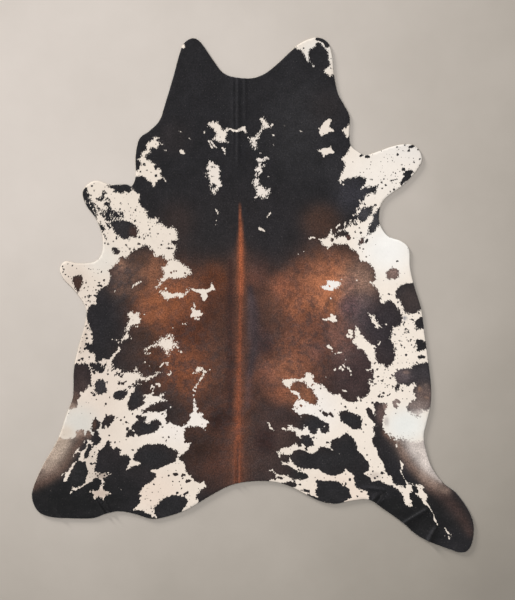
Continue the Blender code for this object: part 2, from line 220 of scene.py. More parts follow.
FLANK_RIGHT_EDGE = (
    (57.4, 111.1), (58.5, 111.7), (59.3, 112.3), (60.5, 112.7), (62.2, 111.5), (63.8, 109.8),
    (65.1, 108.1), (65.9, 106.1), (66.1, 104), (65.7, 102.3), (64.7, 101.3), (62, 100.9), (62, 99.5),
    (61.4, 97.4), (61, 95.1), (62.2, 93.3), (62.8, 91.6), (62.9, 89.6), (62.8, 87.5), (62.2, 85.6),
    (61.8, 84.4), (60.1, 83.4), (59.3, 82.3), (58.5, 83.4), (57.6, 84.4), (56.4, 84.2), (55, 85.9),
    (54.5, 87.5), (54.1, 89.1), (54.1, 91.2), (54.5, 92.3), (53.5, 92.6), (52.3, 93.1), (50.8, 94.7),
    (49.4, 95.7), (47.7, 98.2), (46.5, 100.5), (45.7, 101.3), (45.2, 100.6), (45.7, 99.4), (44.8, 99.1),
    (45, 97.4), (45.5, 96.1), (44.2, 95.3), (43.8, 93.6), (45.2, 93), (45.9, 92.5), (46.5, 91),
    (48.1, 91), (49, 90), (50, 88.6), (50.8, 87.1), (52.1, 85), (52.3, 83.4), (52, 82.2), (50.6, 81.8),
    (50.1, 81.1), (50.8, 80.6), (51.8, 81.6), (53, 82.1), (53.8, 81.1), (53.3, 80.2), (53.2, 79),
    (53.5, 77.8), (53.2, 77.2), (51.8, 77.3), (50.9, 76.9), (51.5, 75.6), (52, 74.4), (51.7, 73),
    (51.4, 71.1), (50.2, 70.5), (50.2, 69.7), (48.1, 69), (46.5, 69.9), (45.9, 69.3), (46.5, 68.2),
    (46.3, 67.6), (44.8, 67.1), (42.8, 67.4), (40.7, 68.2), (39.3, 69.5), (38.6, 70.8), (37.8, 70.9),
    (35.7, 70.7), (34.1, 71.7), (32.4, 73.4), (31.2, 74.6), (30.4, 75.2), (29.4, 75.2), (28.3, 75.6),
    (27.1, 76.3), (26.4, 77.5), (26.9, 78.6), (26.4, 79.6), (25, 80.4), (23.1, 80.6), (22.9, 79.2),
    (22.3, 78.1), (20.9, 77.9), (18.8, 77.5), (16.5, 78), (14.7, 77.1), (12.8, 77.3), (13.3, 75.3),
    (14.7, 74.1), (16.1, 73),
)
LOIN_RIGHT_EDGE = (
    (16.5, 74.4), (18, 76.1), (19.2, 76.5), (20.9, 76.5), (22.9, 76.1), (23.3, 75), (23.8, 74),
    (25.4, 73.6), (26.9, 72.6), (26.4, 71.7), (27.3, 70.9), (27.9, 69.5), (28.7, 68.2), (28.2, 67.4),
    (28.1, 66.4), (27.1, 66.2), (24.6, 66.8), (22.9, 68), (21.3, 68.6), (20.5, 68.6), (18.8, 67.8),
    (18, 65.7), (17.4, 64.1), (18.4, 63.3), (19.4, 62.3), (20.4, 62), (21, 61.8), (21.3, 60.7),
    (21.6, 61.7), (22.5, 61.9), (24, 61.8), (25.6, 61.8), (26.6, 61.3), (28, 60.6), (29.3, 59.9),
    (30, 59.2), (31, 59), (31.8, 58.9), (32, 58.2), (32.9, 57.6), (33.5, 57), (33.7, 56.1),
    (33.4, 55.3), (33.6, 54.6), (33.2, 54), (32.6, 53.8), (31.5, 53.5), (30.4, 53.6), (29.9, 54.2),
    (29.6, 55.2), (28.9, 55.4), (28.2, 54.7), (27.9, 53.4), (27, 53), (25.8, 53.2), (25, 54),
    (24.4, 55.2), (23.9, 56.3), (23.2, 57), (22.6, 57.5), (22.7, 56.6), (22.5, 55.7), (21.8, 55),
    (20.5, 55.1), (19.4, 55.6), (18.2, 56), (17, 56.5), (16, 57.2), (15.2, 57.2), (14.8, 56.7),
    (15.2, 56), (14.9, 55.5), (14, 55.4), (13.3, 55.7), (12.5, 55.3), (12.6, 54.9), (13.8, 54.9),
    (15.3, 54.7), (16.8, 54.6), (18.2, 54.3), (18.7, 53.6), (18.8, 52.7), (19.6, 52.1), (20.2, 51.6),
    (21, 50.9), (20.9, 51.6), (21.4, 52.3), (22.6, 52.5), (24.2, 52.6), (25, 52.2), (25.4, 51.2),
    (26.2, 50.3), (26.6, 49.2), (26.7, 48.2), (26, 47.7), (24.9, 47.6), (24, 47.3), (22.9, 47.6),
    (22.2, 48.3), (21.6, 49.2), (21.2, 49), (21.4, 48.2), (21.2, 47.5), (20.4, 47.2), (19.7, 47.8),
    (19.3, 48.7), (18.8, 49), (18.1, 48.5), (17.2, 48.1), (16.2, 47.7), (15.1, 47), (14, 47.3),
    (13.2, 47.2), (12.2, 46.3), (11.5, 45.7), (11.2, 45.2), (10.2, 45), (10.3, 44.6), (10.9, 43.6),
    (11.6, 42.6), (11.8, 43), (11.5, 44.1),
)
HIND_RIGHT_EDGE = (
    (12.3, 44.2), (14, 43.9), (16, 43.8), (17.1, 44.1), (17.4, 45), (18.3, 45.8), (19.8, 46.1),
    (21.4, 46), (23, 45.3), (24.4, 44.6), (26.3, 44.2), (27.2, 44.8), (28.5, 45.9), (29.3, 46.9),
    (30.5, 47.3), (32, 47.2), (33.2, 46.7), (34.1, 46.8), (34.3, 47.7), (34.7, 49.6), (36.2, 51),
    (38.6, 51.6), (39.9, 52.6), (41.1, 53.5), (42.4, 52.9), (43.6, 51.7), (45, 50), (45.9, 48.3),
    (46.1, 46.3), (46.7, 45), (48.6, 43.8), (49.4, 42), (50.8, 40.5), (51.5, 39.3), (51.4, 37.2),
    (50.2, 36.5), (49.2, 35.3), (50.4, 34.5), (51.9, 33.5), (52.9, 31.6), (54.3, 32.2), (56, 32.6),
    (58.1, 31.2), (60.1, 30.2), (61.8, 29.9), (63.4, 28.9), (64.9, 27.6), (66.1, 26.4), (66.8, 24.3),
    (67.5, 22.3), (68, 21.3), (69.2, 20.9), (70.8, 20.9), (70.7, 21.5), (70, 22.4), (70.8, 23),
    (69.9, 24.1), (69.4, 25.4), (69.8, 26.9), (70.6, 27.4), (72.1, 26.6), (73.3, 25.6), (74.8, 24.2),
    (75.4, 22.3), (77.1, 21.3), (78.3, 20.1), (79.3, 18.7),
)
THIGH_RIGHT_EDGE = (
    (77.9, 21.3), (77.1, 23.2), (77.5, 25), (77.1, 26), (75.6, 27.9), (75.8, 29.3), (75, 30.2),
    (72.5, 30.4), (69.6, 30.8), (68.2, 31.3), (68, 30.2), (67.4, 29.1), (66.5, 29.9), (64.7, 30.2),
    (62.8, 31), (62.2, 31.8), (61.4, 33.9), (59.5, 35.3), (58.3, 37.2), (58.1, 39.7), (56.4, 42.1),
    (55.2, 44.6), (55, 46.7), (53.5, 47.7), (52.7, 49.6), (52.9, 51), (54.1, 52.5), (53.5, 54.5),
    (53.3, 56.2), (54.5, 56.4), (53.5, 58.3), (52.7, 59.9), (53.6, 60.3), (54, 61.4), (54.2, 63),
    (53.9, 64.7), (53.3, 66.4), (52.5, 66.8), (53.5, 67.2), (55.4, 67.2), (57.2, 66.8), (59.3, 66.6),
    (59.3, 65.1), (58.5, 63.7), (58.5, 61.4), (57.4, 59.8), (57.4, 57.3), (57.6, 55), (58.3, 54.3),
    (59.2, 53.3), (61.5, 52), (63.5, 50.6), (66, 51.2), (69, 50), (72, 49.4), (76, 50), (84, 50),
    (108, 30), (108, -6), (60, -6), (50, 18),
)
RUMP_RIGHT_EDGE = (
    (51.4, 24.2), (50.8, 26.4), (50.2, 27.8), (48.1, 28.3), (46.5, 28.9), (45.5, 30.2), (44.8, 32.2),
    (44.8, 34.5), (43.6, 35.5), (42.1, 36.8), (40.9, 37.8), (40.5, 37.2), (39.9, 35.7), (37.4, 35.1),
    (36.8, 34.6), (34.5, 34.8), (32.5, 35.2), (31, 35.7), (30, 36.7), (29.3, 37.4), (28.3, 37.7),
    (27.4, 37.3), (26.4, 37.7), (25, 37.5), (23, 37.6), (21, 37.9), (19.8, 38.3), (18.9, 39),
    (17.8, 40), (17, 41), (16.7, 41.9), (15.8, 42.3), (15.8, 41.4), (15.5, 40.6), (14.8, 40.3),
    (13.6, 40.5), (12.4, 40.7), (12.6, 40.2), (12.3, 39.5), (13.6, 39.4), (14.8, 39.2), (16, 38.5),
    (17.4, 37.8), (18.7, 36.9), (20, 36.2), (21.3, 36), (22.8, 35.5), (23.8, 34.9), (24.5, 34.1),
    (24, 33.5), (22.8, 33), (21.6, 32.7), (20, 32.9), (18, 32.9), (16.8, 33.1), (16, 33.7),
    (15.2, 34.5), (13.6, 34.6), (12, 34.9), (10.6, 35.1), (9.9, 34.4), (10.2, 33.2), (9.4, 32.9),
    (8, 32.9), (7, 32.6), (6.6, 32), (6, 28),
)
BODY_PATCH = (
    BODY_LEFT_EDGE + SHOULDER_LEFT_EDGE + ROUND_THE_HEAD + SHOULDER_RIGHT_EDGE + FLANK_RIGHT_EDGE
    + LOIN_RIGHT_EDGE + HIND_RIGHT_EDGE + THIGH_RIGHT_EDGE + RUMP_RIGHT_EDGE
)
LEFT_HIND_PATCH = (
    (-95, 52.2), (-87.3, 51.9), (-84.5, 50.5), (-82.5, 51), (-80.3, 51.2), (-79, 52.5), (-79.3, 54),
    (-77.5, 54.8), (-76, 55), (-75.6, 53.4), (-75.2, 52.2), (-74.6, 53.4), (-74.1, 54.8), (-73.2, 54.3),
    (-72.6, 53), (-72, 52), (-71.9, 51.3), (-72.8, 50.6), (-73.6, 50.8), (-74.2, 50.2), (-74.3, 49.2),
    (-74.8, 48.2), (-74.9, 47.2), (-75.6, 46.2), (-76.3, 45.7), (-77.2, 45.3), (-77.4, 44.4),
    (-77.5, 43.4), (-78, 42.2), (-78.7, 41.3), (-79.6, 40.5), (-80.8, 40.1), (-81.4, 39.2), (-82, 38),
    (-82.8, 36.8), (-83.8, 35.6), (-84.3, 35), (-84.2, 34), (-84.8, 33), (-84.9, 31.9), (-84, 31.5),
    (-83.3, 32.3), (-82.6, 33.8), (-82.1, 35), (-81.6, 36.2), (-80.7, 38), (-80, 39.2), (-79.2, 40.4),
    (-78.3, 41.1), (-77.6, 41.1), (-76.9, 40.7), (-76.3, 40.4), (-75.2, 40.8), (-74.8, 40.2),
    (-74.7, 38.8), (-74.4, 37.5), (-73.9, 36.2), (-74.2, 34.8), (-74.7, 34), (-74.8, 32.8),
    (-75.3, 31.6), (-76, 30.6), (-77, 30.2), (-78.5, 29.6), (-79.8, 29.2), (-80.9, 29.7), (-81.1, 28.4),
    (-81.6, 27.3), (-82.2, 26), (-81.3, 26.6), (-80.7, 27.9), (-79.6, 27.8), (-78.4, 28.4),
    (-76.5, 29.4), (-75.5, 30.2), (-74, 31), (-72.3, 31.7), (-71.5, 32.8), (-70.3, 33.5), (-69.2, 33.3),
    (-68.3, 32.7), (-67.8, 31.8), (-67.8, 30.9), (-68.3, 29.9), (-68.8, 29), (-68.8, 28.2), (-70, 27.7),
    (-71.5, 27.9), (-72.4, 27.7), (-73.4, 27.3), (-72.6, 26.8), (-71.8, 26.4), (-71.5, 25.3),
    (-71.2, 24.3), (-70.6, 23.7), (-70, 24.7), (-68.7, 25), (-67.6, 24.5), (-67, 23.2), (-66.7, 24.6),
    (-65.3, 25.9), (-63.8, 26.6), (-63.9, 27.2), (-65.5, 27.3), (-66.6, 27.9), (-67.2, 28.8),
    (-67.1, 30.2), (-66.6, 31.5), (-66.3, 32.9), (-65.6, 34.1), (-64.6, 34.9), (-63.7, 35.2),
    (-64.8, 35.9), (-65.9, 35.4), (-67, 35.6), (-68.5, 35.8), (-69.5, 36), (-70.3, 36.2), (-71.1, 36.8),
    (-70.7, 38.2), (-70.1, 40), (-69.9, 42), (-69.5, 44), (-69.2, 45.7), (-68, 46.3), (-66.5, 47.7),
    (-65.8, 49), (-65, 50.2), (-64.2, 50.2), (-64, 49), (-64.3, 48), (-63.4, 47.4), (-62.8, 46.1),
    (-62.5, 45.8), (-62.2, 46.6), (-61.2, 47.2), (-60.3, 46.6), (-59.5, 46), (-59.7, 44), (-58.5, 43.4),
    (-56.5, 43.7), (-55.3, 42.7), (-55, 41), (-55.7, 40), (-56.5, 38), (-57, 36.8), (-54.5, 38.2),
    (-52, 39), (-50.2, 39.5), (-51.5, 40.7), (-53.3, 41.3), (-53.4, 43), (-53, 44), (-52, 45.5),
    (-50.5, 47), (-48, 48.4), (-45, 48.4), (-40.5, 48.5), (-37.5, 47), (-33.8, 45.2), (-34.5, 43),
    (-34.8, 41), (-37.5, 39.9), (-40.8, 38.3), (-44.3, 37.3), (-46.4, 36.8), (-44.5, 35.5),
    (-43.3, 34.5), (-44.8, 32.8), (-47, 31), (-48.5, 30.2), (-49.8, 29), (-50.5, 27.8), (-51.3, 26.3),
    (-50.2, 25.8), (-50.8, 24.5), (-50.7, 23), (-52.2, 21), (-53.7, 19.2), (-51.5, 19), (-49.5, 18.8),
    (-48, 17.7), (-45.9, 16.8), (-45, 12), (-104, 10), (-106, 50),
)
DARK_PATCHES = (
    BODY_PATCH,
    LEFT_HIND_PATCH,
    # The left side, from the hind leg up to the foreleg.
    ((-72.2, 51.9), (-71.4, 53), (-70.8, 54.2), (-69.9, 54.2), (-69.2, 53.8), (-69, 52.7), (-69.2, 52),
     (-68.4, 51.6), (-68.2, 50.5), (-68.7, 49.4), (-69.5, 48.6), (-70.8, 48.1), (-71.8, 47.3),
     (-72.1, 47.6), (-71.8, 48.4), (-71.9, 49.4), (-72.8, 50.2), (-73.5, 50.9)),
    ((-70.9, 60.4), (-70.2, 60), (-69.6, 59.4), (-69.5, 58.2), (-68.7, 58.6), (-68.2, 58.3),
     (-68.3, 57.2), (-68.9, 56.5), (-69.1, 55.3), (-69.9, 55.1), (-70.8, 54.4), (-71.8, 53.9),
     (-72.3, 54.8), (-72.2, 56), (-71.9, 57), (-71.8, 58.5), (-71.4, 59.6)),
    ((-65.9, 62.2), (-65.3, 61.3), (-64.4, 61.2), (-63.3, 61.6), (-62.3, 61), (-62.2, 60), (-62.7, 59),
     (-63.7, 57.8), (-64.5, 56.6), (-65.4, 56.1), (-66.2, 56.9), (-66.6, 55.7), (-67.8, 55.5),
     (-67.9, 56.5), (-67.4, 58.2), (-66.8, 59.6), (-66.2, 60.8)),
    ((-73.5, 48.8), (-72.8, 48.5), (-72.4, 47.5), (-72, 47.2), (-72.6, 46.3), (-73.2, 45.2),
     (-73.6, 43.9), (-74.1, 43), (-74.6, 42.1), (-75.2, 42.1), (-75.6, 43), (-75.5, 44.5),
     (-74.8, 45.6), (-74.2, 46.8), (-73.9, 47.8)),
    ((-54.8, 55.6), (-54.3, 56.4), (-53.9, 57.4), (-52.9, 58), (-52, 58.5), (-51.6, 59.3),
     (-52.3, 60.2), (-52.4, 61.3), (-51.4, 61.4), (-50.4, 61.5), (-49.5, 60.8), (-48.6, 60.6),
     (-47.9, 60.3), (-48.3, 59.3), (-49.1, 58.4), (-48.7, 58), (-47.9, 57.8), (-47.3, 57.4),
     (-46.3, 58.3), (-45, 59.1), (-43.2, 59.4), (-42, 59), (-41.2, 57.9), (-41.6, 56.8), (-42.3, 55.9),
     (-43.1, 54.8), (-44.4, 54), (-46.5, 53.3), (-48.5, 52.8), (-49.7, 52.6), (-51.3, 51.9),
     (-51.8, 52.7), (-52.6, 53.3), (-53, 54.4), (-54.2, 54.9)),
    ((-57, 52), (-55.9, 51.8), (-54.8, 52.3), (-53.4, 51.9), (-52.9, 53.2), (-53.5, 54.4),
     (-54.6, 54.9), (-55.6, 54.5), (-56.4, 53.8)),
    ((-44.3, 20), (-41.5, 23), (-38.5, 25), (-35, 25.7), (-32, 25.3), (-29.7, 23.5), (-30.5, 21),
     (-32, 18.5), (-34, 14), (-42, 12.5), (-43.5, 16)),
    ((-79.5, 84.3), (-79, 84.8), (-78, 84.4), (-77.5, 84.2), (-76.5, 84.6), (-75.7, 84.3), (-75.2, 85),
     (-74.6, 84.3), (-73.5, 83.3), (-73, 82), (-72.6, 80.5), (-72.3, 78.5), (-72.7, 77), (-72.6, 75.7),
     (-72.3, 74.2), (-72.7, 74.1), (-73.5, 74.9), (-74.3, 73.7), (-75, 72.8), (-76, 71.7),
     (-76.6, 71.9), (-77, 72.2), (-77.7, 71.7), (-77.4, 70.4), (-77.8, 69), (-78.6, 68.5),
     (-78.8, 67.2), (-78.8, 65.8), (-79.5, 65), (-82.2, 64.4), (-86, 66), (-85, 75), (-83.5, 83)),
    ((-73.2, 83.8), (-72.9, 84.8), (-72, 84.9), (-71.3, 84.6), (-70.6, 84.9), (-70.1, 84.4),
     (-69.2, 85.1), (-68.4, 84.8), (-68, 83.5), (-67.6, 82.9), (-66.9, 83.9), (-66.2, 84.5),
     (-65.8, 84.4), (-66.1, 83.2), (-66.6, 82), (-67, 80.9), (-67.6, 80.3), (-69, 80.5), (-70.2, 80.9),
     (-71.2, 81.3), (-71.9, 82.2), (-72.9, 82.9)),
    ((-70.6, 76.2), (-70.1, 77), (-69, 77.6), (-68.5, 77.2), (-67.6, 77.6), (-67, 77.2), (-66.4, 76.4),
     (-66, 74.8), (-66.1, 73.8), (-65.4, 73.3), (-65.5, 72.3), (-66.3, 71.4), (-67.8, 71),
     (-68.6, 70.4), (-69.7, 71), (-70.7, 72.2), (-71.3, 73.3), (-70.5, 74), (-70.8, 75.2)),
    ((-62.8, 70.1), (-61.8, 71.6), (-60.2, 72.4), (-58.2, 72.4), (-56.6, 72.3), (-56.5, 71),
     (-57.4, 69.6), (-58.6, 68.6), (-60, 68.2), (-61.6, 68.5)),
    ((-63.2, 136), (-62, 136.4), (-60.6, 135.8), (-59.8, 134.2), (-60.5, 133.4), (-61.6, 133.5),
     (-62.6, 134.2)),
    ((-81, 122.3), (-79, 123.7), (-76.8, 123.5), (-76.3, 121), (-77.5, 118), (-78.5, 116),
     (-79.8, 118.5)),
    ((-64.3, 147.3), (-61.5, 148.3), (-58.5, 148.4), (-56, 147.9), (-54, 147), (-52.8, 145.8),
     (-52.1, 144.8), (-51.5, 143.4), (-51.9, 142.2), (-52.2, 141), (-53.5, 140.9), (-54.8, 141),
     (-55.7, 140.3), (-56.6, 139.9), (-58, 140.1), (-59.2, 140.7), (-60.5, 141.8), (-62, 142.9),
     (-62.2, 144), (-63, 145.3), (-64, 146.8)),
    ((-66, 152.5), (-65.2, 154), (-64.2, 154.6), (-63.3, 153.2), (-62, 152.5), (-60, 152), (-59, 152.1),
     (-58.2, 151.4), (-58.2, 149.7), (-59.5, 149.7), (-60.8, 149.4), (-61.5, 148.2), (-63.5, 148),
     (-65.5, 148.3), (-66.7, 149.2), (-67.5, 150.2), (-68.2, 151.2), (-67.8, 152), (-66.8, 151.9)),
    ((-65.3, 164), (-63, 164.2), (-59.5, 164.2), (-57.5, 164.8), (-56, 164.5), (-54.6, 163.9),
     (-54.3, 163.2), (-54.6, 161.8), (-55.3, 161), (-56.5, 160.7), (-57.3, 161.4), (-58, 160.7),
     (-59.3, 160.5), (-60.6, 160.9), (-62, 160.7), (-62.5, 161.5), (-62.3, 162.3), (-63.8, 162.9),
     (-65, 163.6)),
    ((-75.8, 163), (-74.3, 162.3), (-74.2, 161), (-73.4, 160.2), (-73, 159), (-74, 158.1),
     (-72.8, 157.9), (-72.2, 156.6), (-71.1, 155.9), (-70.7, 154.3), (-70.2, 153), (-70.1, 151.2),
     (-70.3, 149.8), (-71.5, 149), (-75, 151), (-79, 161)),
    # The right side, from the foreleg down to the rump.
    ((46, 150.5), (46.2, 149.4), (47.2, 148.2), (48, 147.6), (49, 147.8), (50, 148.6), (50.7, 149.8),
     (51.6, 150.4), (52.4, 151.3), (52.8, 152.5), (53, 153.9), (53.4, 154.7), (52.8, 154.9),
     (51.9, 154.3), (50.2, 154.2), (48.8, 154.1), (48, 153.5), (47.6, 152.3), (46.9, 151.2)),
    ((56.1, 153.9), (55.3, 153.2), (54.7, 152), (53.9, 151.2), (52.9, 151.1), (53.2, 149.9),
     (53.3, 148.6), (52.4, 147.2), (51.6, 146.2), (51, 145.4), (51.3, 144.3), (50.9, 142.9),
     (50.6, 141.8), (51.3, 141.9), (51.9, 142.6), (52.9, 142.8), (53.9, 143.5), (54.6, 144.8),
     (55.4, 145.6), (56.1, 146.6), (60, 148), (59, 153.5)),
    ((48.6, 140.8), (49.2, 140.2), (49.1, 139.1), (48.7, 138), (47.8, 137.4), (47.1, 137.4),
     (46.9, 138.4), (47.2, 139.6), (47.8, 140.5)),
    ((36, 141.7), (36.4, 140.9), (37, 140.2), (37.6, 141), (38.4, 141.1), (39.5, 141.2), (40.8, 141.3),
     (41.6, 141.9), (42.3, 142.6), (41.7, 143.3), (40.5, 143.7), (39.2, 144), (38, 143.4),
     (36.8, 143.2)),
    ((59.1, 125.4), (60.5, 126.4), (61.8, 127), (63.6, 126.8), (64.7, 125.4), (64.5, 123.7),
     (63.2, 121.9), (61.8, 122.5), (60.1, 122.1), (59.1, 124.1)),
    ((63.4, 115), (63.6, 117.1), (64.7, 118.5), (67.1, 120), (69.6, 120.2), (75, 120), (79, 108.8),
     (74.8, 108.8), (72.9, 107.3), (70.5, 106.8), (68.2, 106.9), (67.1, 108.4), (66.7, 109.8),
     (65.7, 110.9), (65.5, 112.7), (63.8, 113.8)),
    ((71.8, 102.4), (72.9, 104), (74.8, 105.2), (79, 105.2), (79, 100.1), (75.6, 100.1), (73.3, 100.1),
     (72.7, 101.1)),
    ((72.7, 95.1), (75, 95.1), (75.4, 94.1), (80, 94.3), (80, 91.2), (77.1, 91.2), (75, 90.2),
     (72.9, 90.3), (72.9, 92.5), (72.4, 93.3)),
    ((62.4, 79.6), (63.8, 81.3), (65.1, 81.9), (67.1, 82.1), (68.8, 82.5), (70.3, 82.3), (70.9, 83.5),
     (72.9, 84.2), (75.4, 84.8), (75.8, 84), (76.6, 84.8), (82, 84.6), (83, 64.7), (78.9, 64.7),
     (77.1, 63.3), (75, 63.7), (74.6, 62.2), (72.9, 61), (70.5, 62.6), (68.8, 63.3), (68.4, 64.9),
     (69.6, 66.8), (70.5, 67.8), (72.1, 68.2), (72.3, 69.7), (71.3, 71.7), (71.3, 73.6), (72.3, 74.6),
     (71.3, 76.3), (70.3, 75.2), (68, 74.8), (66.9, 75.5), (65.5, 75.2), (64.9, 75.9), (63.8, 76.3),
     (63.4, 78.1), (62.6, 78.8)),
    ((64.3, 76.2), (65, 75.2), (65.1, 74.2), (64.4, 72.9), (63.9, 72), (63.3, 72.9), (62.8, 73.6),
     (63.5, 74.6), (63.9, 75.5)),
    ((38.2, 61.8), (39.5, 63.3), (41.5, 63.5), (43.6, 62.6), (46.1, 61.6), (47.7, 60.6), (48.1, 58.1),
     (47.9, 56), (46.1, 55.3), (44, 55.5), (42.4, 56.7), (40.3, 58.1), (38.8, 59.3)),
    ((12.4, 31), (14, 31.2), (15.2, 31.9), (16.5, 31.9), (17.4, 31.4), (18.3, 31.2), (19.2, 30.6),
     (18.9, 29.9), (17.8, 29.5), (16.4, 29.3), (14.8, 29.8), (13.5, 30.4)),
    ((29.1, 32.2), (31.2, 32.1), (33.7, 32.2), (36.2, 32.1), (38.2, 31.6), (39.5, 30.2), (41.5, 29.1),
     (42.6, 28.3), (42.8, 26.7), (43.4, 24.6), (41.5, 24), (39.9, 22.5), (37.4, 22), (33.7, 22.1),
     (30.4, 23.1), (28.3, 25.2), (27.7, 27.1), (28.3, 28.9), (28.1, 30.6)),
)

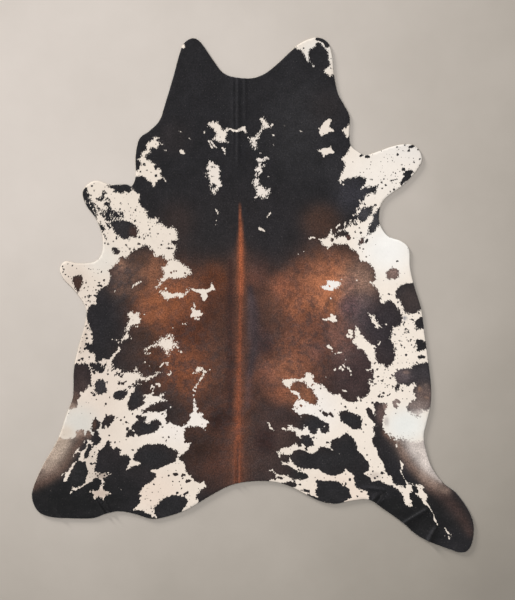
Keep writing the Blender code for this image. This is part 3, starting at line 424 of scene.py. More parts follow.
# White hair inside the dark, as closed edges.
WHITE_PATCHES = (
    # The right ear.
    ((19, 225.2), (20.2, 224.7), (21.6, 223.6), (22.8, 221.5), (23.7, 219.3), (24.6, 219.4),
     (24.6, 222.6), (24.7, 224.3), (26.3, 225.2), (27.4, 226.1), (28.4, 227.8), (30, 227.1),
     (31.4, 225.4), (32.8, 224), (33.3, 221.2), (33.5, 219.8), (34, 217.9), (33, 216.5), (31.4, 215.4),
     (31.9, 214), (34.2, 212.6), (35.7, 213.3), (41, 213), (41, 234), (15, 234)),
    # The left side of the neck.
    ((-44.8, 185.7), (-43.8, 185.4), (-42.3, 185.5), (-42.6, 184.5), (-42, 183), (-42.4, 182),
     (-42.8, 180.7), (-43.4, 180.2), (-44.2, 180.7), (-45.6, 180.8), (-46.2, 180.2), (-46.3, 179.5),
     (-45.6, 178.5), (-46.5, 178.5), (-47.9, 177.6), (-48.4, 176.8), (-47.7, 175.8), (-47, 175.1),
     (-45.9, 175.3), (-45.8, 174.2), (-44.2, 173.6), (-44, 173), (-44.6, 172.4), (-44.2, 171.4),
     (-43.7, 170.8), (-43.2, 171.2), (-42.6, 171.8), (-41.7, 171.6), (-41.3, 170.8), (-41.1, 170.2),
     (-41.7, 169), (-41.2, 168.2), (-40.2, 167.4), (-39.6, 166.6), (-38.9, 165.2), (-39.6, 165.7),
     (-40.6, 166.9), (-41.9, 166.8), (-43, 165.6), (-43.7, 164.7), (-44.1, 163.4), (-44.6, 163),
     (-45.2, 164), (-45.7, 165.4), (-46.6, 165.8), (-47.8, 166.5), (-48.6, 167.5), (-49.6, 167.8),
     (-50.8, 168), (-52.2, 167.9), (-53.3, 167.2), (-54.4, 165.3), (-56.5, 167), (-55, 171.5),
     (-52.6, 170.2), (-51.5, 171.3), (-50.8, 172.3), (-50.4, 173.6), (-50.5, 174.7), (-51.7, 175.5),
     (-50.6, 176.4), (-50.2, 177.7), (-49.3, 179.1), (-47.8, 179.7), (-47.6, 180.5), (-48, 181.8),
     (-47.4, 182.9), (-46, 183.7), (-44.9, 184.2)),
    # The middle of the neck, left and right of the spine.
    ((-21, 190.5), (-20.2, 190.9), (-20, 192.5), (-19.2, 191.9), (-18.3, 192.6), (-17.4, 191.8),
     (-16.6, 192.3), (-15.9, 192.3), (-15.8, 191.3), (-14.9, 190.8), (-14.4, 189.7), (-14.2, 188.8),
     (-13.6, 188.5), (-12.6, 188.9), (-11.9, 189.6), (-11.3, 189.6), (-11.6, 188.6), (-12.1, 187.9),
     (-12, 186.6), (-12.3, 185.5), (-12.6, 184.6), (-12.2, 183.4), (-12.9, 182.8), (-13.3, 183.3),
     (-14.1, 183), (-14.7, 183.3), (-15.4, 183.3), (-16.3, 183.9), (-17.1, 184.3), (-18.2, 184.2),
     (-18, 185), (-17, 185.8), (-16.8, 186.9), (-16.9, 188), (-17.9, 188.3), (-18.1, 189.4),
     (-19.2, 190), (-19.7, 190.5), (-20.6, 189.9)),
    ((-19.9, 175.2), (-19.3, 174.7), (-18, 174.2), (-17.2, 173.4), (-16.2, 173.1), (-15.6, 172.5),
     (-15.4, 171.4), (-14.9, 170.7), (-15.3, 169.9), (-15.5, 168.8), (-15.1, 167.9), (-15.5, 167),
     (-15, 166.3), (-14.4, 166.1), (-14.6, 165.2), (-14.4, 163.3), (-15.2, 162.9), (-16, 162.3),
     (-16.3, 161.3), (-17, 160.5), (-17.7, 159.8), (-18.4, 160.5), (-18.9, 161.3), (-19.6, 162.2),
     (-18.9, 162.4), (-17.6, 162.5), (-16.9, 163.2), (-17.1, 164.2), (-18, 164.9), (-18.6, 164.2),
     (-18.8, 163.6), (-19.6, 163.7), (-19.3, 165.1), (-19.7, 166.3), (-20.1, 167.9), (-20.1, 169),
     (-21.4, 169.1), (-21.5, 169.6), (-20.3, 169.9), (-20, 170.7), (-20.8, 171), (-21.4, 171.7),
     (-20.6, 172.5), (-20.2, 174)),
    ((2.7, 193.8), (3.6, 194.2), (4.5, 193.9), (5.3, 192.6), (6.2, 191.4), (6.5, 190.6), (7.3, 190.1),
     (6.8, 189.7), (5.4, 189.3), (4.2, 189), (3.7, 189.5), (3.9, 190.8), (3.4, 192.3), (2.8, 193.1)),
    ((-1.9, 184.9), (-1.2, 185.3), (-0.3, 185.1), (0.5, 185.5), (1.3, 186.3), (2.4, 187.7), (3, 188),
     (3.2, 187.4), (2.5, 186.2), (2, 184.9), (1.2, 183.9), (1, 182.5), (1.2, 181.3), (0.8, 180.2),
     (0.3, 180.2), (-0.3, 181.5), (-1, 182.4), (-1.6, 182.9), (-1.4, 184)),
    ((0.4, 166.6), (1.2, 167.1), (1.9, 166.9), (2.8, 166.5), (2.3, 165.8), (2.2, 164.6), (3.2, 163.9),
     (4.3, 163.2), (5.3, 162.2), (6.4, 162.4), (7.3, 162.5), (6.9, 161.6), (7.5, 161), (6.9, 160.4),
     (6.4, 159.7), (5.3, 159.2), (6, 158.4), (5.6, 158.1), (4.8, 158.7), (4.1, 158.3), (3.4, 158.3),
     (3.1, 159.1), (2.4, 159.4), (1.7, 159.1), (0.9, 158.2), (0.3, 157.6), (0.8, 158.8), (1.7, 159.7),
     (1, 160.3), (1.2, 161.6), (1, 162.6), (0.4, 162.9), (0.1, 164), (-0.1, 165), (-0.4, 165.3),
     (0.1, 166)),
    ((42.9, 191.3), (41.5, 190), (39.8, 189.3), (39.6, 188.4), (40.6, 187.2), (41, 185.5),
     (41.9, 184.9), (42.6, 186.5), (46, 187), (46, 191)),
    # The two marks of the left ribs.
    ((-56.3, 106.5), (-55.8, 107.1), (-55, 107.9), (-54.3, 107.8), (-53.8, 107), (-53.2, 106.7),
     (-52.5, 106.9), (-51.9, 107.4), (-51.1, 107.1), (-50.9, 106.5), (-51.4, 105.8), (-51.3, 105),
     (-50.4, 104.9), (-50.2, 104.5), (-50.5, 103.8), (-50.7, 102.8), (-51.4, 102.2), (-52.3, 101.7),
     (-53.2, 101.9), (-54.2, 101.8), (-54.8, 101.3), (-55, 100.6), (-55.4, 99.8), (-56, 99.2),
     (-56.2, 98.6), (-55.9, 97.8), (-55.7, 97), (-55.6, 96.1), (-56.8, 95.6), (-57.8, 95),
     (-58.5, 94.3), (-59.7, 94.2), (-59.5, 94.8), (-58.6, 95.8), (-57.8, 96.8), (-57.3, 97.8),
     (-56.8, 98.3), (-57, 99), (-56.8, 99.8), (-57.4, 100.3), (-57, 100.9), (-56.4, 101.2),
     (-56.3, 102.3), (-56, 103.2), (-55.4, 104.2), (-55.2, 105), (-56.2, 105.2), (-55.8, 105.8)),
    ((-42, 116.7), (-41.2, 117.1), (-39.5, 117), (-38.4, 116.8), (-37.6, 116.2), (-36.5, 115.9),
     (-34.5, 116), (-33, 116.1), (-31.5, 115.6), (-30.5, 115.8), (-29.9, 116.8), (-29.6, 117.6),
     (-28.6, 118.1), (-27, 118), (-26.4, 117.4), (-27.6, 117.3), (-28.9, 117.2), (-29.3, 116.4),
     (-29.8, 115.3), (-31, 114.6), (-31.8, 113.8), (-33, 113.7), (-34.2, 114.3), (-35.6, 113.8),
     (-37, 113.5), (-38.8, 113), (-39.8, 113.6), (-40.6, 114.6), (-41.5, 115.6)),
    # The star and the hook on the left flank.
    ((-45, 92.3), (-44.6, 93.4), (-43.4, 93.8), (-42.3, 94.3), (-42, 95.5), (-41.2, 96), (-40.5, 96),
     (-40.2, 95.5), (-39.5, 95.9), (-39.2, 96.5), (-38.6, 97.2), (-37.8, 97.6), (-36.8, 97.2),
     (-36.1, 96.4), (-35.6, 95.7), (-36, 95.3), (-36, 94.4), (-35.5, 93.8), (-34.6, 93.7),
     (-33.9, 94.2), (-34.3, 93.2), (-34, 92.2), (-33.2, 91.3), (-34.3, 91.8), (-35.3, 91.9),
     (-36.3, 91.2), (-37, 90.5), (-37.9, 90.4), (-38.4, 90.3), (-38.2, 89.2), (-38, 88.4),
     (-38.7, 87.9), (-39, 88.8), (-39.4, 89.9), (-40.2, 90.6), (-40.7, 91.4), (-41.6, 92),
     (-42.2, 92.5), (-43.5, 92.1), (-44.6, 91.9)),
    ((-26, 81.5), (-25.6, 82.3), (-24.6, 83), (-23.4, 83), (-22.4, 82.5), (-22, 81.6), (-20.8, 81.2),
     (-19.3, 81.8), (-20.3, 81), (-21.4, 80.2), (-22.2, 79.1), (-22.3, 78.4), (-23.2, 77.6),
     (-23.9, 76.7), (-24.6, 77.2), (-23.9, 78.2), (-23.9, 79), (-23.2, 79.1), (-22.5, 80), (-22.3, 81),
     (-22.7, 81.5), (-23.4, 80.9), (-24.5, 80.9), (-25, 80.4), (-26, 80.3), (-27.2, 80), (-26.9, 80.6),
     (-25.8, 80.8)),
    # The right ribs and flank.
    ((51.1, 107), (51.8, 106.5), (52.4, 105.9), (53, 106.1), (53.7, 106.2), (54, 105.3), (54.3, 104),
     (55.2, 102.9), (56, 101.9), (56.9, 100.9), (56, 100.5), (55.5, 99.7), (54.8, 100.4), (54, 101.6),
     (53, 102.9), (52.2, 104.1), (52.1, 105.3), (51.4, 106.2)),
    ((30, 118.7), (32.4, 119.8), (32.9, 122), (34.9, 121.4), (37.4, 121.2), (38.8, 120.2),
     (37.8, 118.5), (35.7, 117.7), (34.9, 116.2), (33.7, 116.9), (31.2, 117.7)),
)

# Runs of dabs, each dab (across, along, radius): white hair laid over the dark.
WHITE_RUNS = (
    # The left hind leg.
    ((-77.9, 46.9, 0.25), (-78.5, 46, 0.4), (-79.4, 44.9, 0.45), (-80.1, 43.7, 0.45),
     (-80.4, 42.8, 0.25)),
    ((-79, 45.3, 0.25), (-77.6, 45.2, 0.2)),
    ((-83.8, 36, 0.3), (-85, 35.3, 0.25), (-85.8, 34.5, 0.15)),
    ((-75.4, 49.8, 0.35), (-75.6, 49.2, 0.25)),
    ((-59.4, 28.1, 0.16), (-58.4, 28.6, 0.14)),
    ((-91.4, 27.1, 0.14), (-90.5, 27.9, 0.1)),
    # The left rump and flank.
    ((-64, 85.8, 0.8), (-63.1, 86.7, 0.6), (-62.5, 88.3, 0.5), (-61.2, 89.6, 0.5), (-59.9, 90.5, 0.6),
     (-60.1, 91.6, 0.35)),
    ((-48.9, 70.7, 0.25), (-49.2, 69.4, 0.3)),
    ((-51.5, 75.3, 0.25),),
    ((-50.2, 75, 0.2),),
    ((-37.6, 64.3, 0.2), (-36.8, 65.4, 0.2)),
    ((-53, 100.7, 0.2), (-52, 101, 0.45), (-51.7, 100.7, 0.2)),
    ((-61.2, 95, 0.45),),
    ((-63, 95.3, 0.35),),
    ((-57.6, 99, 0.4),),
    ((-49, 106.4, 0.35),),
    # The star on the left ribs, and the flecks round it.
    ((-46.3, 92.1, 0.4), (-46.9, 91.5, 0.3), (-47.9, 90.9, 0.45), (-49, 90.6, 0.3)),
    ((-43, 80.2, 0.2), (-42, 80.9, 0.3), (-40.8, 80.5, 0.25)),
    ((-32.3, 89.9, 0.45), (-33.1, 89.7, 0.3)),
    ((-37.2, 89.4, 0.3),),
    ((-47.8, 89.4, 0.4), (-48.6, 88.6, 0.3)),
    ((-47, 88.8, 0.25), (-46.2, 89, 0.2)),
    ((-49.2, 84.7, 0.2), (-48.4, 85.2, 0.3)),
    ((-46.6, 83.6, 0.25),),
    ((-46, 73.2, 0.3), (-45.4, 74.4, 0.6)),
    ((-45, 74, 0.5), (-44.4, 73.6, 0.4)),
    ((-43.6, 75.2, 0.35), (-42.3, 75.3, 0.4), (-41.5, 75.2, 0.4), (-42.1, 74.1, 0.25)),
    ((-38.1, 79.5, 0.45), (-37.2, 80, 0.4), (-36.9, 80.9, 0.35)),
    ((-41.7, 83, 0.2), (-41.2, 83.8, 0.5), (-40.4, 84.6, 0.35)),
    ((-38.7, 84.1, 0.5), (-38.4, 85.1, 0.3)),
    # The hook and the chain under it.
    ((-24.7, 75.9, 0.2), (-25.3, 75, 0.35), (-26.1, 74, 0.55)),
    ((-25.5, 73.3, 0.25),),
    ((-27, 72.9, 0.25), (-26.4, 72.3, 0.35), (-26.1, 71.9, 0.3)),
    ((-26.7, 70.3, 0.45),),
    ((-26.6, 68.6, 0.35), (-26.5, 67.4, 0.4)),
    # The left ribs, higher up.
    ((-30.2, 102.2, 0.55),),
    ((-31.9, 102.3, 0.3),),
    ((-36, 100.2, 0.25),),
    ((-26, 106.8, 1.5), (-27.8, 105.8, 0.7)),
    ((-26, 106.5, 1.3), (-23.4, 106.5, 0.8)),
    ((-26.3, 107.5, 1), (-27.5, 109, 0.5)),
    ((-26, 104.6, 0.6), (-24.3, 104.3, 0.4)),
    ((-26.5, 111.3, 0.5), (-26.3, 109.3, 0.4)),
    ((-27.5, 117.6, 0.3), (-26, 117, 0.55), (-24, 116.8, 0.9), (-22.5, 116.5, 1.2), (-22, 114.6, 1.5),
     (-22.2, 112.9, 0.7)),
    ((-54.6, 117.8, 0.05), (-53.9, 118.8, 0.14), (-53.3, 119.6, 0.5), (-52.4, 119.9, 0.4),
     (-51.5, 120.6, 0.5), (-50.4, 121, 0.3)),
    ((-62.2, 116.3, 0.08), (-61.7, 117.1, 0.12)),
    ((-25.3, 107.7, 0.5), (-24.2, 107.9, 0.5)),
    ((-21.5, 116.8, 0.9), (-20, 117, 0.7), (-18.5, 118.5, 0.8), (-18.7, 120, 0.5)),
    ((-18.8, 118, 0.6), (-17.3, 117.6, 0.4)),
    ((-39.2, 118, 0.5),),
    # The left side of the neck.
    ((-41.6, 182.7, 0.2), (-40.5, 182.1, 0.2)),
    ((-40.2, 179.7, 0.2), (-39.1, 179.5, 0.25)),
    ((-32.2, 179, 1), (-31, 178, 0.4)),
    ((-33.3, 188.2, 0.1), (-31.5, 187.2, 0.12)),
    ((-29, 185, 0.1), (-27.6, 184.3, 0.1)),
    ((-31.4, 226, 0.9),),
    # The middle of the neck, and the withers.
    ((-11.2, 188.9, 0.3), (-10.4, 189.2, 0.35), (-9, 188.3, 0.5), (-7, 188.3, 0.5), (-4.7, 189.5, 0.9),
     (-3.5, 187.5, 0.3)),
    ((-20.2, 183.9, 0.4), (-19.6, 182.4, 0.35), (-19, 181.5, 0.35), (-18.4, 180.7, 0.4)),
    ((-18.9, 183.6, 0.4), (-18.2, 182.3, 0.3), (-17.3, 181.2, 0.35), (-16.6, 180.8, 0.3)),
    ((-21.7, 188.2, 0.3), (-22.1, 187.2, 0.35)),
    ((-14, 180.6, 0.4), (-13.2, 179.9, 0.45), (-13, 178.6, 0.35), (-12.7, 177.5, 0.2)),
    ((-12.6, 180.3, 0.3),),
    ((-11.3, 183.3, 0.3),),
    ((-21.4, 168, 0.3), (-21, 167.6, 0.25)),
    ((-16.9, 153.4, 0.3), (-16.2, 152.2, 0.35), (-15.9, 151, 0.15)),
    ((-16.7, 148.3, 0.45),),
    ((-16.8, 146.5, 0.3),),
    ((7.3, 151.6, 0.4), (6.4, 150.4, 0.22), (5.4, 149.1, 0.08)),
    ((3.3, 147.2, 0.3),),
    ((2.6, 144.9, 0.7), (3.6, 144.2, 0.6), (4.9, 143.4, 0.2)),
    ((2.2, 175.4, 0.9), (3.5, 175.1, 0.7), (4.5, 175.3, 0.6), (5.4, 176.2, 0.6), (6.5, 175.8, 0.4)),
    ((2.7, 174.6, 0.5), (2.7, 173.6, 0.4), (2.6, 172.6, 0.5)),
    ((0.6, 170.7, 0.4), (1.6, 171, 1), (2.7, 171.4, 0.9), (3, 170.2, 0.8), (2.6, 169.3, 0.4)),
    ((3.9, 172.3, 0.25), (4.9, 172.9, 0.4), (5.4, 173.4, 0.3)),
    ((0.9, 168.7, 0.3), (1.2, 167.8, 0.25)),
    ((2.1, 168.6, 0.3),),
    ((7.6, 190.4, 0.3), (8.3, 191.1, 0.5)),
    ((3.6, 189.4, 0.35), (2.8, 187.9, 0.3)),
    ((-2.5, 185.3, 0.3),),
    ((8.4, 186.4, 0.3), (9.3, 186.3, 0.3)),
    ((8.8, 182, 0.35),),
    ((3, 178.4, 0.35),),
    ((6.5, 167.9, 0.3),),
    # The right side of the neck.
    ((33.9, 193, 0.8), (32.5, 191.5, 1.4), (31.5, 189.5, 1.7), (30.3, 187.8, 1.2), (30.5, 186.5, 0.7)),
    ((32, 189, 1.2), (34, 188.8, 1), (35.2, 188.4, 0.6)),
    ((29.3, 189.4, 0.4),),
    ((28.7, 179.6, 0.4), (30.5, 179.5, 0.8), (32, 179.8, 1.1), (34, 179.3, 1.2), (35.2, 178.8, 0.7)),
    ((34, 180, 0.6), (34.4, 181.2, 0.35)),
    ((31.2, 176.9, 0.4), (31.2, 178.4, 0.8), (32.6, 178.2, 0.7)),
    ((31.6, 187.6, 0.9), (32.6, 187.6, 0.6)),
    ((13, 191, 0.1), (14.4, 190.2, 0.12)),
    ((20.5, 188.4, 0.1), (21.6, 187.8, 0.1)),
    ((26.6, 217.2, 0.45),),
    ((24.9, 219.3, 0.12), (26, 218.1, 0.06)),
    # The right shoulder.
    ((50.3, 165, 0.2), (49.3, 164, 0.2), (48.2, 162.9, 0.2), (47.8, 162.2, 0.15)),
    ((51.5, 163.4, 0.2), (50.5, 162.7, 0.2)),
    ((40, 164.4, 0.4),),
    ((47.2, 157.2, 0.3), (47.7, 156.3, 0.4)),
    ((47.8, 155.2, 0.4), (47, 154.3, 0.4), (46.1, 153.2, 0.5), (46.5, 152.3, 0.5), (47.3, 152.4, 0.5),
     (47.6, 153.5, 0.4), (48.2, 154.6, 0.4)),
    ((27.4, 140.4, 0.25), (26.3, 140.7, 0.3), (24.8, 140.4, 0.5)),
    ((34.6, 144.3, 0.3),),
    ((38.5, 143.9, 0.55),),
    ((38.3, 141.5, 0.3),),
    ((37, 145.1, 0.35), (37.4, 146, 0.4), (38.6, 146.5, 0.25)),
    ((40.5, 145.9, 0.25), (40.8, 146.7, 0.4), (41, 147.6, 0.3)),
    ((43.3, 148.4, 0.35), (42.8, 147.6, 0.25)),
    ((44.6, 150.7, 0.45),),
    ((45.3, 148.6, 0.4),),
    ((46, 150, 0.25),),
    # The right ribs and flank.
    ((30.9, 104.3, 0.35), (32.3, 103.9, 0.5), (33.8, 104.6, 0.7), (35.5, 104, 1.1), (36.6, 103.7, 0.6)),
    ((34.5, 106.2, 0.55), (36, 105.2, 0.8)),
    ((34.4, 113.6, 0.4),),
    ((39.3, 121.9, 0.3),),
    ((42.7, 98.9, 0.8), (43.5, 98.9, 0.7)),
    ((42, 97, 0.8), (43.3, 96.5, 0.7), (44.1, 96.3, 0.35)),
    ((42.5, 97.8, 0.7), (43.4, 97.7, 0.7)),
    ((55.9, 94.7, 0.25), (56.3, 93.9, 0.3), (55.7, 93.2, 0.4)),
    ((59.1, 102, 0.35),),
    ((33.3, 92.3, 0.7), (34.9, 91, 0.4)),
    ((35, 90, 0.3),),
    ((36, 88.7, 0.3),),
    ((37.5, 89.3, 0.3), (39, 89.5, 0.25)),
    ((41, 86.2, 0.35),),
    ((40.1, 84, 0.45), (40.5, 83, 0.3)),
    ((38.8, 83, 0.5), (38, 82, 0.3), (40, 81.8, 0.45)),
    ((42, 82.8, 0.4), (43.2, 81, 0.45)),
    ((36.2, 81.8, 0.6),),
    ((39.7, 72.5, 0.4), (41.3, 72, 0.35)),
    # The marks by the loin and the rump, on the right.
    ((13.4, 76.6, 0.7), (15, 76, 1.7), (16.8, 76.8, 0.9)),
    ((16.6, 72.2, 0.4), (18, 71.6, 0.8), (19.8, 70.9, 0.7), (20.2, 69.8, 0.45), (20.6, 68.8, 0.4)),
    ((6.2, 58.2, 0.2), (6.9, 57.8, 0.35), (7.1, 56.5, 0.35), (7.7, 55.6, 0.35), (9, 54.6, 0.2)),
    ((6.9, 36.6, 0.35), (8, 37, 0.45), (9, 36.1, 0.25), (10, 35.3, 0.25), (10.6, 34.8, 0.35)),
    ((34.2, 46.8, 0.25), (35.7, 45.5, 0.12)),
    ((37, 44.9, 0.12), (38.7, 44, 0.15)),
    # The right hind leg.
    ((65.2, 40.9, 0.35), (66.3, 39.6, 0.6), (65.7, 37, 0.5), (65.6, 36.2, 0.3), (66.6, 34.4, 0.1),
     (67.6, 32.4, 0.1), (68.5, 31.3, 0.4)),
    ((63.6, 47.7, 0.35), (63.8, 48.8, 0.2)),
    ((77.3, 21.9, 0.4), (78.3, 20.5, 0.3), (79, 19.3, 0.25), (79.8, 18, 0.17), (80.2, 17.2, 0.15)),
    ((80.2, 17.4, 0.12), (80.4, 16.3, 0.25), (80.6, 14.9, 0.42), (81.2, 14, 0.42), (81.7, 13, 0.3),
     (82, 12.3, 0.12)),
    ((85.1, 11.4, 0.16), (85.8, 10.3, 0.25), (86.5, 9.2, 0.3), (86.9, 8.6, 0.45), (87.5, 8.3, 0.2)),
    ((88, 8, 0.25), (88.8, 7.8, 0.2)),
    ((85.1, 7.6, 0.12), (85.7, 7.1, 0.2)),
    ((86.8, 7.2, 0.4), (87.4, 6.5, 0.3)),
)

# Runs of dark hair laid over the white, as dabs too.
DARK_RUNS = (
    # The left hind leg and the left rump.
    ((-79.6, 43.6, 0.7), (-78.6, 43.8, 0.7), (-78, 43.9, 0.4)),
    ((-60.3, 79.6, 0.6), (-59.6, 79.9, 0.5)),
    ((-58.6, 81.6, 0.6), (-58.3, 80.6, 0.5), (-58.6, 79.4, 0.4), (-59.1, 78.4, 0.3)),
    ((-59.9, 76.4, 0.35), (-60, 75.4, 0.5)),
    ((-59.1, 76.1, 0.3), (-58.3, 75.4, 0.5), (-57.7, 76.2, 0.35), (-57, 76.5, 0.3)),
    ((-55.6, 73.8, 0.45), (-54.6, 74.6, 0.35), (-53.6, 75.4, 0.3)),
    ((-71.6, 80.9, 0.35), (-71.1, 80.2, 0.45)),
    ((-37.8, 95.7, 0.4), (-37.1, 96.6, 0.4)),
    ((-32.3, 34.1, 0.35), (-31.6, 34.9, 0.45), (-30.7, 34.9, 0.4)),
    ((-31.9, 33.3, 0.3), (-31.3, 33.5, 0.3)),
    ((-31, 26.1, 0.5), (-29.4, 27.1, 0.55)),
    ((-35.4, 35, 0.6), (-34.3, 35.1, 0.6)),
    ((-29.9, 31.9, 0.65), (-28.9, 32.1, 0.65)),
    ((-68.8, 119.4, 0.45), (-67.8, 118.9, 0.45)),
    # The left foreleg and shoulder.
    ((-67, 161.3, 0.4), (-66.3, 160.8, 0.5), (-65.8, 160.4, 0.4)),
    ((-67.6, 160.3, 0.35), (-66.7, 160.4, 0.35)),
    ((-70, 158.2, 0.4), (-69, 157.6, 0.6), (-68, 157.4, 0.5), (-67.2, 158.2, 0.6),
     (-67.1, 159.3, 0.35)),
    ((-68.6, 158.7, 0.4), (-67.5, 158.9, 0.4)),
    ((-65.9, 157.3, 0.3), (-65.3, 158.1, 0.35), (-64.7, 157.7, 0.35), (-64.1, 157, 0.3)),
    ((-66.5, 155.4, 0.5), (-65.8, 155.8, 0.8), (-65, 155.7, 0.8), (-64.8, 154.7, 0.6),
     (-64.2, 153.6, 0.7)),
    ((-69.8, 154.6, 0.35), (-69.4, 153.7, 0.45), (-68.2, 153.3, 0.35)),
    ((-67.1, 153.2, 0.3), (-66.9, 152.4, 0.3)),
    ((-65.3, 146.7, 0.5), (-65, 145.7, 0.45), (-64.4, 145.1, 0.45)),
    ((-68.5, 145.9, 0.7), (-67.9, 145.2, 0.9), (-67.1, 144.3, 0.6)),
    # The right ear.
    ((28.2, 229.3, 0.7), (30.3, 228.8, 0.85), (32, 227.9, 0.85), (32.7, 226.5, 1.15)),
    # The right shoulder and foreleg.
    ((42.1, 141.1, 1), (42.3, 140.6, 1)),
    ((46.2, 152.8, 0.3), (47.2, 153.7, 0.35)),
    ((44.3, 147.4, 0.3), (45, 146.4, 0.45)),
    ((45.5, 147.1, 0.4), (46, 146.3, 0.35)),
    ((50.7, 159.1, 0.35), (51.3, 159.7, 0.35)),
    ((50.6, 139.6, 0.5), (50.1, 138.7, 0.5)),
    ((47.5, 177.1, 0.5), (48.5, 177.5, 0.4)),
    ((50, 176.8, 0.6), (51.2, 176.8, 0.65)),
    ((69.5, 181, 0.5), (70.8, 181.5, 0.8), (71.8, 181.9, 0.5)),
    ((67.2, 168.8, 0.7), (68.3, 169, 0.9)),
    ((70.3, 170, 0.8), (68.5, 169.2, 1.2), (69, 167.7, 1.3), (67.3, 166.7, 1), (66.2, 165.3, 0.7),
     (65.7, 164.3, 0.5)),
    ((60.6, 165.9, 0.25), (61.4, 166.1, 0.4)),
    ((62.6, 166.4, 0.2), (63.9, 166.7, 0.2)),
    # The right flank and rump.
    ((73.8, 87.4, 0.7), (76, 87.4, 0.6)),
    ((51.2, 64, 0.9), (51.7, 62.8, 1.4), (52.3, 61.4, 1.2), (53.3, 60, 1)),
    # The ring of brown hair on the right flank.
    ((63.6, 65.2, 0.7), (62.8, 66, 0.8), (62.7, 67.2, 0.8), (63.6, 68.1, 0.7), (64.9, 67.3, 0.6)),
    ((30.9, 62.7, 0.6), (32.3, 61.7, 1)),
    ((33.9, 62.2, 0.6), (35.3, 61.1, 0.6)),
    ((11.2, 33.9, 0.4), (12, 33.4, 0.5), (12.8, 33.2, 0.3)),
    ((22.5, 28, 0.5), (24.5, 27.5, 0.6)),
    ((24, 26.1, 0.3), (26, 25, 0.5), (28, 24, 0.6), (30, 23.6, 1.2)),
    ((28.3, 31.9, 0.8), (29.5, 31, 1)),
    ((20.1, 37.1, 0.35), (20.7, 36.8, 0.4)),
    ((23.1, 46.7, 0.35), (23.7, 45.9, 0.4)),
    ((71.1, 29.3, 0.8), (72, 28.3, 1), (72.8, 27.3, 0.7)),
)

